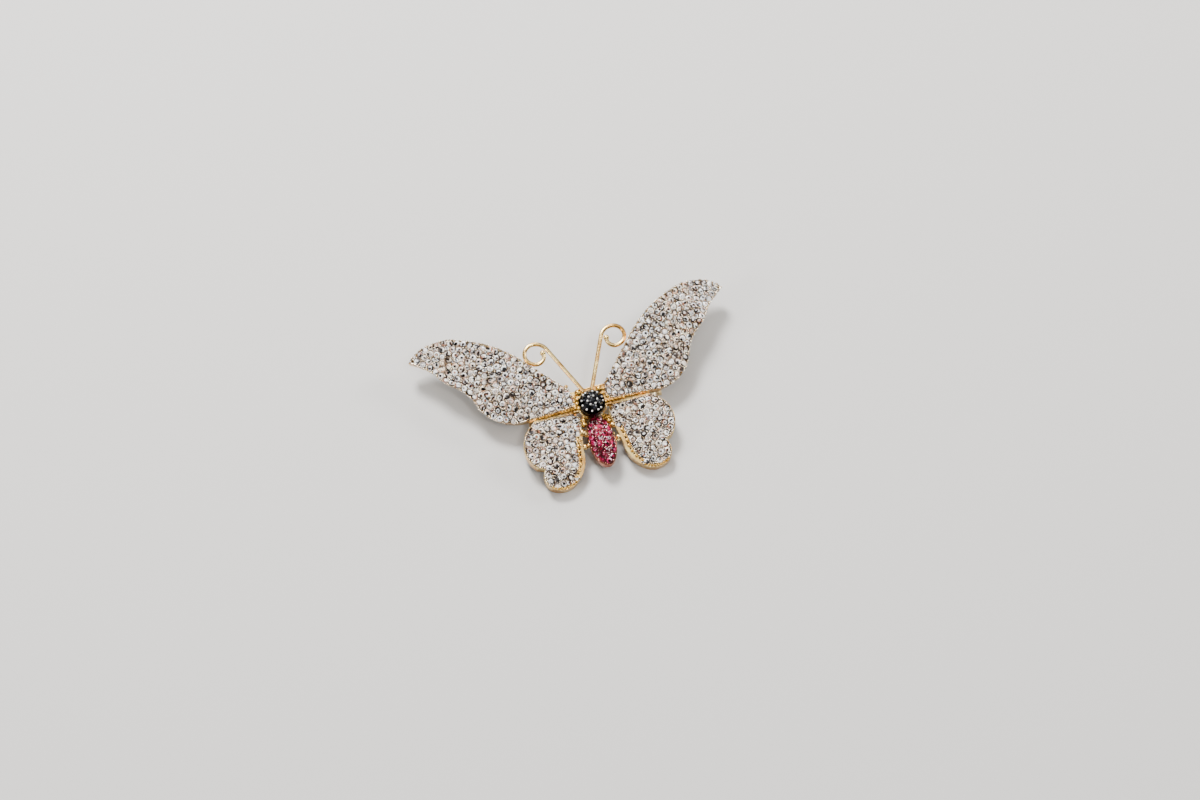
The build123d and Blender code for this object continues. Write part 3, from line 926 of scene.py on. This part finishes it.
@dataclass(kw_only=True)
class Wing(PaveField):
    """One wing: a domed tray whose bed is drilled for stones.

    On the plane of the right wing u goes outwards and v towards the antennae, and the left wing is the same
    with x turned round. A level is measured along the dome's radius.
    """

    side: int
    start: tuple[float, float]
    outline: tuple[Stretch, ...]
    reach: float
    rise: float
    height: float
    slope_out: float
    slope_back: float
    crown: tuple[float, float]
    bare_rim: float
    tip: tuple[float, float] | None = None  # where it is, in shares of the reach and the rise
    bare_tip: float = 0.9
    covered_above: float = math.inf
    tail_below: float = -math.inf
    bare_tail: float = 0.5
    seam: tuple[float, float] = (-0.2, 0.42)  # the v of the seam's middle, and how far stones keep off it
    margin: float = 0.0
    margin_ends: tuple[float, float] = (-4.2, -11.0)
    margin_overlap: float = -0.05
    rim_width: float = 0.32
    solid_past_rim: float = 0.05  # how much wider than the rim the solid metal is
    dome_radius: float = 80.0

    def outline_points(self) -> np.ndarray:
        """Turns the outline's table into a closed line of points that are about OUTLINE_STEP apart."""
        scale = np.array([self.reach, self.rise])
        here = np.array(self.start) * scale
        rows = []
        for stretch in self.outline:
            end = np.array(stretch.end) * scale
            count = max(2, int(np.linalg.norm(end - here) / OUTLINE_STEP))
            if stretch.via is None:
                rows.append(here + (end - here) * np.linspace(0, 1, count, endpoint=False)[:, None])
            else:
                rows.append(arc_points(here, np.array(stretch.via) * scale, end, count))
            here = end
        rows.append(here[None])
        return np.concatenate(rows)

    def on_dome(self, uv: np.ndarray, level: np.ndarray | float) -> tuple[np.ndarray, np.ndarray]:
        """Places on the wing's dome and the directions that its front faces there.

        The dome is a sphere that touches the plane at the crown. A place is the dome's middle plus the unit
        direction over the point, times the radius less the level.

        Args:
            uv: Points on the plane, as rows.
            level: Depth below the rim for each or for all.

        Returns:
            Places and normals in the brooch's frame, mirrored for a left wing.
        """
        flat = uv - np.array(self.crown)
        up = np.sqrt(self.dome_radius**2 - (flat**2).sum(-1))
        normal = np.concatenate([flat, up[..., None]], axis=-1) / self.dome_radius
        local = normal * (self.dome_radius - np.asarray(level))[..., None]
        local = local + np.array([self.crown[0], self.crown[1], -self.dome_radius])
        across = unit(np.array([1.0, 0.0, -self.slope_out]))
        front = unit(np.array([self.slope_out, -self.slope_back, 1.0]))
        turn = np.stack([across, np.cross(front, across), front])
        mirror = np.array([self.side, 1, 1])
        return (local @ turn + [0, 0, self.height]) * mirror, (normal @ turn) * mirror

    def dress(self) -> None:
        """Dresses the field, and on a forewing the bare tip: a pale rim round a dark bead, painted shade of a
        hollow.

        The rim follows the outline as far as the tip is bare, drawn in and smoothed over seven points.
        """
        super().dress()
        if not self.tip:
            return
        tip = np.array(self.tip) * [self.reach, self.rise]
        near = self.polygon[np.linalg.norm(self.polygon - tip, axis=-1) < self.bare_tip + TIP.rim_run]
        inward = unit(near.mean(0) - tip)
        padded = np.pad(near, ((3, 3), (0, 0)), mode="edge")
        rounded = np.mean([padded[k:k + len(near)] for k in range(7)], axis=0)
        path = self.on_dome(rounded + inward * TIP.rim_inset, -TIP.rim_rise)[0]
        rim = sweep_tube(f"{self.name}_tip_rim", path, np.full(len(path), TIP.rim_radius))
        wear(rim, Finish.BEAD_GOLD)
        centre, normal = self.on_dome((tip + inward * TIP.hollow_inset)[None], TIP.hollow_level)
        radius = np.array([TIP.hollow_radius])
        # A flattened dark bead in the tip: painted shade of a hollow
        hollow = set_beads(f"{self.name}_tip_hollow_painted_shade", centre, normal, radius, TIP.hollow_share, around=12)
        wear(hollow, Finish.PIT_GOLD)

    def margin_distance(self, uv: np.ndarray) -> np.ndarray:
        """How far points lie inside the pocket from the plain margin beside the abdomen."""
        return edge_distance(self.polygon, uv - np.array([self.margin, 0.0])) - self.rim_width

    def field_distance(self, uv: np.ndarray, edge: np.ndarray) -> np.ndarray:
        """How far points lie inside the part that carries stones.

        Stones cover the rim where v is over covered_above and stand a little over it where bare_rim is
        negative. They leave the tip bare, the margin between its ends, the seam, and a wider strip below
        tail_below.
        """
        inside = edge - np.where(uv[:, 1] > self.covered_above, 0.0, self.bare_rim)
        inside = np.where(uv[:, 1] < self.tail_below, edge - self.bare_tail, inside)
        inside = np.minimum(inside, np.abs(uv[:, 1] - self.seam[0]) - self.seam[1])
        if self.tip:
            away = np.linalg.norm(uv - np.array(self.tip) * [self.reach, self.rise], axis=-1)
            inside = np.minimum(inside, away - self.bare_tip)
        if self.margin:
            pocket = self.margin_distance(uv) + self.margin_overlap
            beside = (uv[:, 1] < self.margin_ends[0]) & (uv[:, 1] > self.margin_ends[1])
            inside = np.where(beside, np.minimum(inside, pocket), inside)
        return inside

    def on_solid(self, uv: np.ndarray, edge: np.ndarray) -> np.ndarray:
        """Whether points lie on the rim or the margin."""
        solid = edge < self.rim_width + self.solid_past_rim
        if self.margin:
            solid |= self.margin_distance(uv) < self.solid_past_rim
        return solid


@dataclass(frozen=True)
class BeadRow:
    """One kind of bead in a row along a margin: its name, its depth, its size and its finish."""

    word: str
    level: float
    radius: float
    share: float  # its height as a share of its width
    finish: Finish
    around: int = 12


# Dark flattened beads in the margin's holes: painted shade at their bottoms
PITS = BeadRow("pits", level=0.1, radius=0.27, share=0.36, finish=Finish.PIT_GOLD)
MARGIN_BEADS = BeadRow("margin_beads", level=0.03, radius=0.31, share=0.5, finish=Finish.DEEP_GOLD)
TAIL_BEADS = BeadRow("tail_beads", level=0.02, radius=0.24, share=0.85, finish=Finish.DEEP_GOLD, around=8)


@dataclass
class Margin:
    """A hind wing's margin: painted shade in its drilled holes, the gold lumps between them, and its lower
    end's beads.
    """

    wing: Wing
    ends: tuple[float, float] = (-4.6, -10.6)
    pitch: float = 0.95
    search: tuple[float, float] = (1.5, 7.0)  # the u between which the margin lies
    search_step: float = 0.02
    tail_start: float = 0.2  # how far below the wing's bare tail the beads start
    tail_inset: float = 0.26
    tail_spacing: float = 2.1  # in radii of a bead

    def middle_line(self, v: np.ndarray) -> np.ndarray:
        """Finds the middle of the margin at each v, as the first point along u that is deep enough."""
        u = np.arange(*self.search, self.search_step)
        points = np.stack(np.meshgrid(u, v, indexing="ij"), axis=-1)
        deep = edge_distance(self.wing.polygon, points.reshape(-1, 2)).reshape(points.shape[:2])
        first = (deep >= self.wing.rim_width + self.wing.margin / 2).argmax(0)
        return np.stack([u[first], v], axis=-1)

    def tail_line(self) -> np.ndarray:
        """Places along the wing's lower end, drawn in from its outline and evenly spaced along it."""
        line = self.wing.polygon[self.wing.polygon[:, 1] < self.wing.tail_below - self.tail_start]
        ahead = unit(np.gradient(line, axis=0))
        inset = line + np.stack([ahead[:, 1], -ahead[:, 0]], axis=-1) * self.tail_inset
        run = np.append(0.0, np.cumsum(np.linalg.norm(np.diff(inset, axis=0), axis=-1)))
        steps = np.arange(0, run[-1], TAIL_BEADS.radius * self.tail_spacing)
        return np.stack([np.interp(steps, run, inset[:, k]) for k in (0, 1)], axis=-1)

    def add_row(self, row: BeadRow, uv: np.ndarray) -> None:
        """Makes one row of beads as a piece.

        Args:
            row: The kind of bead.
            uv: The beads' places on the wing's plane.
        """
        centres, normals = self.wing.on_dome(uv, row.level)
        radii = np.full(len(uv), row.radius)
        beads = set_beads(f"{self.wing.name}_{row.word}", centres, normals, radii, row.share, row.around)
        wear(beads, row.finish)

    def dress(self) -> None:
        """Builds the painted shade at the bottoms of the holes, the lumps between them and the beads on the
        lower end.
        """
        count = math.floor((self.ends[0] - self.ends[1]) / self.pitch) + 1
        v = self.ends[0] - np.arange(count) * self.pitch
        self.add_row(PITS, self.middle_line(v))
        self.add_row(MARGIN_BEADS, self.middle_line(v - self.pitch / 2))
        self.add_row(TAIL_BEADS, self.tail_line())


@dataclass
class Head:
    """The black head: a stone in the middle, a ring of stones round it, and the beads between them."""

    radius: float = 2.1
    rise: float = 0.9
    stone_width: float = 1.02
    ring_radius: float = 1.24
    ring_count: int = 6
    inner_ring: float = 0.8  # the distance of the inner beads from the middle
    outer_ring: float = 1.72
    inner_bead_radius: float = 0.18
    outer_bead_radius: float = 0.17
    outer_bead_turn: float = 0.22  # between an inner bead and each of the outer two beside it, in radians
    uneven_turn: float = 0.06
    uneven_ring: float = 0.04
    bead_lift: float = 0.06
    stones_seed: int = 300
    beads_seed: int = 7

    def on_dome(self, radii: np.ndarray, turns: np.ndarray, lift: float) -> tuple[np.ndarray, np.ndarray]:
        """Places on the head's dome, which is a sphere, and the directions that they face.

        The sphere's radius is (radius squared plus rise squared) over twice the rise, and a place at a
        distance from the axis slopes by the angle whose sine is the distance over that radius.

        Args:
            radii: Distance of each from the middle, along the head's plane.
            turns: Angle of each from +X.
            lift: Height of each over the dome.

        Returns:
            Places and normals.
        """
        sphere = (self.radius**2 + self.rise**2) / (2 * self.rise)
        slope = np.arcsin(radii / sphere)
        normals = polar(np.sin(slope), turns, np.cos(slope))
        return normals * (sphere + lift) + [0, 0, self.rise - sphere], normals

    def dress(self) -> None:
        """Builds the stones and beads and finishes the head's solid."""
        turns = (np.arange(self.ring_count) + 0.5) * 2 * np.pi / self.ring_count
        rings = np.append(0.0, np.full(self.ring_count, self.ring_radius))
        centres, normals = self.on_dome(rings, np.append(0.0, turns), 0.0)
        widths = np.full(len(centres), self.stone_width)
        stones = set_stones("head_cut_stones", centres, normals, widths, BLACK_TONES, self.stones_seed)
        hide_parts("head_stones")
        wear(stones, Finish.BLACK_GEM)
        between = turns + np.pi / self.ring_count
        draw = np.random.default_rng(self.beads_seed)
        angles = np.concatenate([between, between - self.outer_bead_turn, between + self.outer_bead_turn])
        angles += draw.normal(0, self.uneven_turn, len(angles))
        radii = np.repeat([self.inner_ring, self.outer_ring, self.outer_ring], self.ring_count)
        radii += draw.normal(0, self.uneven_ring, len(angles))
        sizes = np.repeat([self.inner_bead_radius, *[self.outer_bead_radius] * 2], self.ring_count)
        centres, normals = self.on_dome(radii, angles, self.bead_lift)
        beads = set_beads("head_beads", centres, normals, sizes, around=10)
        # The beads' whitish colour is painted highlight
        wear(beads, Finish.HEAD_BEAD_HIGHLIGHT)
        wear(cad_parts["head_setting"], Finish.BLACK_RHODIUM)


@dataclass(kw_only=True)
class Abdomen(PaveField):
    """The oval abdomen: rubies on a dome that is round across and flatter along, inside a plain rim."""

    half_width: float = 2.15
    half_length: float = 4.35
    middle: float = -6.05
    rim_height: float = -1.8
    dome_rise: float = 1.0
    bare_rim: float = 0.03
    outline_count: int = 120

    def outline_points(self) -> np.ndarray:
        """The oval, as points on an ellipse about the abdomen's middle."""
        angle = np.linspace(0, 2 * np.pi, self.outline_count, endpoint=False)
        return np.stack([self.half_width * np.cos(angle), self.half_length * np.sin(angle)], axis=-1)

    def on_dome(self, uv: np.ndarray, level: np.ndarray | float) -> tuple[np.ndarray, np.ndarray]:
        """Places on the abdomen's dome and the directions that they face.

        Lengthwise the dome is an arc. Across, each section is a circle whose radius is what the arc leaves.

        Args:
            uv: Distances across and along from the middle, as rows.
            level: Depth below the dome for each or for all.

        Returns:
            Places and normals.
        """
        across, along = uv[:, 0], uv[:, 1]
        across_radius = (self.half_width**2 + self.dome_rise**2) / (2 * self.dome_rise)
        along_radius = (self.half_length**2 + self.dome_rise**2) / (2 * self.dome_rise)
        pitch = np.arcsin(np.clip(along / along_radius, -1, 1))
        girth = across_radius - along_radius * (1 - np.cos(pitch))
        roll = np.arcsin(np.clip(across / girth, -1, 1))
        sine, cosine = np.sin(roll), np.cos(roll)
        normals = np.stack([np.cos(pitch) * sine, np.sin(pitch), np.cos(pitch) * cosine], axis=-1)
        axis_height = self.rim_height + self.dome_rise - across_radius
        places = np.stack([girth * sine, self.middle + along, axis_height + girth * cosine], axis=-1)
        return places - normals * np.broadcast_to(level, len(uv))[:, None], normals

    def field_distance(self, uv: np.ndarray, edge: np.ndarray) -> np.ndarray:
        """How far points lie inside the plain rim."""
        return edge - self.bare_rim

    def on_solid(self, uv: np.ndarray, edge: np.ndarray) -> np.ndarray:
        """The stones all stand on the dome."""
        return np.ones(len(uv), bool)

    def dress(self) -> None:
        """Dresses the field and finishes the abdomen's solid."""
        super().dress()
        wear(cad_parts["abdomen_setting"], Finish.ROSE_GOLD)


@dataclass(frozen=True)
class Lump:
    """A cast lump of gold: its middle and its radius."""

    place: tuple[float, float, float]
    radius: float


HEAD_LUMPS = (
    Lump((-1.62, 2.5, -0.95), 0.6),
    Lump((-2.4, 1.84, -0.95), 0.45),
    Lump((-2.05, 1.35, -0.95), 0.4),
    Lump((-2.6, 1.1, -0.85), 0.27),
    Lump((-2.25, 0.65, -0.95), 0.4),
    Lump((-2.75, 0.3, -0.95), 0.36),
    Lump((-2.2, -0.15, -0.95), 0.38),
    Lump((1.8, 2.3, -0.95), 0.58),
    Lump((2.5, 2.15, -0.85), 0.3),
    Lump((2.25, 1.3, -0.85), 0.26),
    Lump((2.75, 0.75, -0.95), 0.34),
    Lump((2.3, -0.1, -0.95), 0.32),
)
BODY_LUMPS = (
    Lump((-2.62, -3.95, -1.9), 0.6),
    Lump((-2.2, -4.2, -2.05), 0.58),
    Lump((-3.15, -5.2, -1.5), 0.22),
    Lump((-3.5, -5.7, -1.5), 0.2),
    Lump((-3.5, -6.15, -1.5), 0.22),
    Lump((-2.8, -6.25, -2.3), 0.48),
    Lump((-2.15, -6.1, -2.5), 0.36),
    Lump((2.4, -3.7, -2.2), 0.5),
    Lump((2.15, -5.1, -2.5), 0.3),
    Lump((2.75, -5.9, -2.4), 0.46),
)
# What joins the hind wings' inner corners to the metal between the head and the abdomen
NECK_LUMPS = (
    Lump((-1.55, -1.25, -1.95), 0.42),
    Lump((-1.3, -1.62, -1.95), 0.4),
    Lump((-1.85, -1.98, -2.0), 0.52),
    Lump((-1.98, -2.65, -2.0), 0.5),
    Lump((1.5, -1.9, -2.0), 0.42),
    Lump((1.85, -2.35, -2.0), 0.58),
    Lump((2.05, -2.95, -2.0), 0.5),
    Lump((1.3, -2.35, -2.05), 0.36),
)
EDGE_KNOB = Lump((-3.25, 3.75, -0.25), 0.34)
# The wire along the back of the plate under the head, from end to end
PLATE_EDGE = ((-0.6, 2.87, -0.93), (2.85, 2.9, -0.83))
# The sleeve on the pin's end, flared at both of its ends: the x of each ring, and its radius
PIN_END = (
    (9.4, 0.41),
    (9.45, 0.5),
    (9.6, 0.52),
    (9.75, 0.44),
    (10.9, 0.44),
    (11.4, 0.52),
    (11.8, 0.62),
    (11.86, 0.58),
)


@dataclass
class GoldWork:
    """The cast gold round the head and body, and the beaded wire soldered in the seam between the wings."""

    wire_start: float = 2.75
    left_end: float = -8.6
    right_end: float = 5.2
    wire_y: float = -0.1
    wire_height: float = -0.88
    wire_fall: float = 0.06  # how much lower the wire lies for each millimetre outwards
    bead_radius: float = 0.33
    bead_spacing: float = 1.5  # in radii
    bead_spread: tuple[float, float] = (0.85, 1.1)  # the least and greatest share of the radius
    seam_seed: int = 5
    sleeve_y: float = 0.84  # a little before the pin's own middle, because its end is bent forwards
    pin_height: float = -4.75
    collar_radius: float = 2.28
    collar_height: float = -1.08
    collar_spans: tuple[tuple[str, float, float], ...] = (("left", 178.0, 238.0), ("right", 292.0, 345.0))
    collar_points: int = 16
    plate_points: int = 12
    wire_radius: float = 0.12

    def seam_places(self, end: float) -> np.ndarray:
        """Evenly spaced places along the seam, as rows."""
        run = abs(end) - self.wire_start
        count = int(run / (self.bead_radius * self.bead_spacing)) + 1
        x = self.wire_start + np.linspace(0, run, count)
        height = self.wire_height - self.wire_fall * (x - self.wire_start)
        return np.stack([np.sign(end) * x, np.full(len(x), self.wire_y), height], axis=-1)

    def collar_arc(self, start: float, end: float) -> np.ndarray:
        """The places of a stretch of the wire round the head's underside, between two angles in degrees."""
        turns = np.radians(np.linspace(start, end, self.collar_points))
        return polar(self.collar_radius, turns, self.collar_height)

    def add_wires(self) -> None:
        """Builds the thin plain wires round the head and the flared end of the pin."""
        for word, start, end in self.collar_spans:
            arc = self.collar_arc(start, end)
            collar = sweep_tube(f"collar_{word}", arc, np.full(len(arc), self.wire_radius))
            wear(collar, Finish.YELLOW_GOLD)
        back = np.linspace(PLATE_EDGE[0], PLATE_EDGE[1], self.plate_points)
        plate = sweep_tube("plate_wire", back, np.full(len(back), self.wire_radius))
        wear(plate, Finish.YELLOW_GOLD)
        along, radii = np.array(PIN_END).T
        sleeve = np.stack(np.broadcast_arrays(along, self.sleeve_y, self.pin_height), axis=-1)
        # The sleeve's pale cream gold is painted light
        wear(sweep_tube("pin_end", sleeve, radii, around=16), Finish.SATIN_GOLD)

    def dress(self) -> None:
        """Builds the wires and the lumps and finishes the frame and the pin."""
        self.add_wires()
        upward = np.array([[0.0, 0.0, 1.0]])
        places = np.concatenate([self.seam_places(self.left_end), self.seam_places(self.right_end)])
        draw = np.random.default_rng(self.seam_seed)
        radii = self.bead_radius * draw.uniform(*self.bead_spread, len(places))
        seam = set_beads("seam_beads", places, np.repeat(upward, len(places), axis=0), radii, around=10)
        # The seam beads' brown is painted shade of the seam between the wings
        wear(seam, Finish.SEAM_GOLD)
        groups = {
            "head_lumps": HEAD_LUMPS,
            "neck_lumps": NECK_LUMPS,
            "body_lumps": BODY_LUMPS,
            "edge_knob": (EDGE_KNOB,),
        }
        for name, lumps in groups.items():
            centres = np.array([lump.place for lump in lumps])
            radii = np.array([lump.radius for lump in lumps])
            normals = np.repeat(upward, len(lumps), axis=0)
            cast = set_beads(name, centres, normals, radii, around=14)
            deep = name in ("head_lumps", "neck_lumps")
            wear(cast, Finish.DEEP_GOLD if deep else Finish.YELLOW_GOLD)
        wear(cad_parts["frame"], Finish.YELLOW_GOLD)
        wear(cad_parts["brooch_pin"], Finish.YELLOW_GOLD)


# Each light's name, place and side in millimetres, and power in watts. The low ones light the stones'
# crowns from four sides, and the one overhead lights their tables.
LIGHTS = (
    ("key", (-60.0, 330.0, 420.0), 170.0, 5.9),
    ("overhead", (60.0, 0.0, 520.0), 420.0, 1.0),
    ("left", (-430.0, -60.0, 240.0), 120.0, 1.0),
    ("right", (430.0, 60.0, 240.0), 120.0, 1.3),
    ("back", (90.0, 470.0, 200.0), 120.0, 0.9),
    ("front", (75.0, -215.0, 430.0), 60.0, 0.6),
)


@dataclass
class Studio:
    """A plain pale floor, soft lights and the camera at the photograph's angle."""

    azimuth: float = -15.73
    elevation: float = 62.3
    distance: float = 350.0
    picture_width: float = 1200.0
    pixels_per_mm: float = 6.3
    head_pixel: tuple[float, float] = (-8.0, -2.0)  # right of and above the picture's middle
    sensor: float = 36.0
    floor_half: float = 1500.0
    floor_colour: str = "#CDCAC6"
    floor_roughness: float = 0.9
    sky_colour: str = "#E6E8EC"
    sky_strength: float = 0.18

    def back(self) -> np.ndarray:
        """The direction from the brooch to the camera."""
        a, e = math.radians(self.azimuth), math.radians(self.elevation)
        return np.array([math.sin(a) * math.cos(e), -math.cos(a) * math.cos(e), math.sin(e)])

    def place_camera(self) -> None:
        """Makes the camera, aimed so that the head shows at its pixel."""
        back = self.back()
        right = unit(np.cross([0, 0, 1.0], back))
        above = np.cross(back, right)
        aim = HEAD_PLACE - (right * self.head_pixel[0] + above * self.head_pixel[1]) / self.pixels_per_mm
        data = bpy.data.cameras.new("camera")
        data.sensor_width = self.sensor
        data.lens = self.pixels_per_mm * self.distance / self.picture_width * self.sensor
        data.clip_start, data.clip_end = 0.01, 10.0
        camera = bpy.data.objects.new("camera", data)
        camera.location = (aim + back * self.distance) * MM
        camera.rotation_mode = "QUATERNION"
        camera.rotation_quaternion = Vector(-back).to_track_quat("-Z", "Y")
        bpy.context.scene.collection.objects.link(camera)
        bpy.context.scene.camera = camera

    def lay_floor(self) -> None:
        """Makes the floor: pale card with no coating, which gives soft shadows and no mirror image."""
        half = self.floor_half
        corners = np.array([[-half, -half, 0], [half, -half, 0], [half, half, 0], [-half, half, 0]])
        mesh = bpy.data.meshes.new("floor")
        mesh.from_pydata((corners * MM).tolist(), [], [(0, 1, 2, 3)])
        floor = bpy.data.objects.new("floor", mesh)
        bpy.context.scene.collection.objects.link(floor)
        material, shader = new_material("pale_matt_card")
        shader.inputs["Base Color"].default_value = linear(self.floor_colour)
        shader.inputs["Roughness"].default_value = self.floor_roughness
        mesh.materials.append(material)

    def add_light(self, name: str, place: tuple[float, float, float], size: float, power: float) -> None:
        """Adds a square soft light that faces the brooch.

        Args:
            name: The light's name.
            place: Where it stands, in millimetres.
            size: Its side, in millimetres.
            power: Its power in watts.
        """
        data = bpy.data.lights.new(name, "AREA")
        data.size, data.energy = size * MM, power
        light = bpy.data.objects.new(name, data)
        light.location = np.array(place) * MM
        light.rotation_mode = "QUATERNION"
        light.rotation_quaternion = (Vector(HEAD_PLACE) - Vector(place)).to_track_quat("-Z", "Y")
        bpy.context.scene.collection.objects.link(light)

    def build(self) -> None:
        """Makes the floor, the lights, the surroundings and the camera."""
        self.lay_floor()
        for light in LIGHTS:
            self.add_light(*light)
        world = bpy.data.worlds.new("surroundings")
        world.use_nodes = True
        background = world.node_tree.nodes["Background"]
        background.inputs["Color"].default_value = linear(self.sky_colour)
        background.inputs["Strength"].default_value = self.sky_strength
        bpy.context.scene.world = world
        self.place_camera()


# How the white stones are set, then the sizes of a forewing and of a hind wing, and how the rubies are set
WHITE_SETTING = {
    "tones": WHITE_TONES,
    "gem": Finish.WHITE_GEM,
    "bead": Finish.BEAD_GOLD,
    "bed": Finish.BED_GOLD,
    "gem_slot": "white_stone",
    "metal_slot": "gold",
    "stone_width": 1.04,
    "bead_radii": (0.09, 0.19),
    "bead_overhang": 0.2,
}
FOREWING = {
    "start": FOREWING_START,
    "outline": FOREWING_OUTLINE,
    "reach": 26.45,
    "rise": 16.76,
    "height": 0.02,
    "slope_out": 0.1346,
    "slope_back": 0.2159,
    "crown": (11.0, 8.0),
    "bare_rim": -0.12,
    "tip": (1.0, 0.901),
}
HINDWING = {
    "start": HINDWING_START,
    "outline": HINDWING_OUTLINE,
    "reach": 12.31,
    "rise": 12.35,
    "height": -1.39,
    "slope_out": -0.03,
    "slope_back": 0.12,
    "crown": (8.0, -5.0),
    "bare_rim": 0.16,
    "tail_below": -11.4,
    "margin": 0.72,
    "covered_above": -1.3,
}
ABDOMEN = {
    "tones": RUBY_TONES,
    "gem": Finish.RUBY_GEM,
    "bead": Finish.BEAD_ROSE,
    "bed": Finish.BED_ROSE,
    "gem_slot": "ruby",
    "metal_slot": "rose_gold",
    "stone_width": 0.98,
    "smallest_filler": 0.34,
    "bead_radii": (0.1, 0.15),
    "bead_overlap": 0.02,
    "bead_overhang": 0.0,
    "bed_back": 0.6,
}


def make_wing(word: str, side: int, seed: int, form: dict) -> Wing:
    """Makes a wing of one of the two forms.

    Args:
        word: The wing's name, which its node has too.
        side: 1 for the right and -1 for the left.
        seed: The seed of its random draws.
        form: The sizes of a forewing or a hind wing.

    Returns:
        The wing, not yet dressed.
    """
    return Wing(
        name=word,
        node=f"{word}_stones",
        seed=seed,
        side=side,
        flip=side < 0,
        **WHITE_SETTING,
        **form,
    )


def sub_assemblies() -> list[PaveField | Margin | Head | GoldWork]:
    """The brooch's sub-assemblies in order, each wing and the abdomen with a seed of its own."""
    wings = []
    for seed, (side, word) in enumerate(((-1, "left"), (1, "right")), start=1):
        forewing = make_wing(f"forewing_{word}", side, 100 * seed, FOREWING)
        hindwing = make_wing(f"hindwing_{word}", side, 100 * seed + 50, HINDWING)
        wings += [forewing, hindwing, Margin(hindwing)]
    abdomen = Abdomen(name="abdomen", node="abdomen_stones", seed=400, **ABDOMEN)
    return [*wings, Head(), abdomen, GoldWork()]


def main() -> None:
    """Builds every sub-assembly in order and then the studio."""
    logging.basicConfig(level=logging.INFO, format="%(message)s")
    for part in sub_assemblies():
        part.dress()
    Studio().build()


if __name__ == "__main__":
    main()
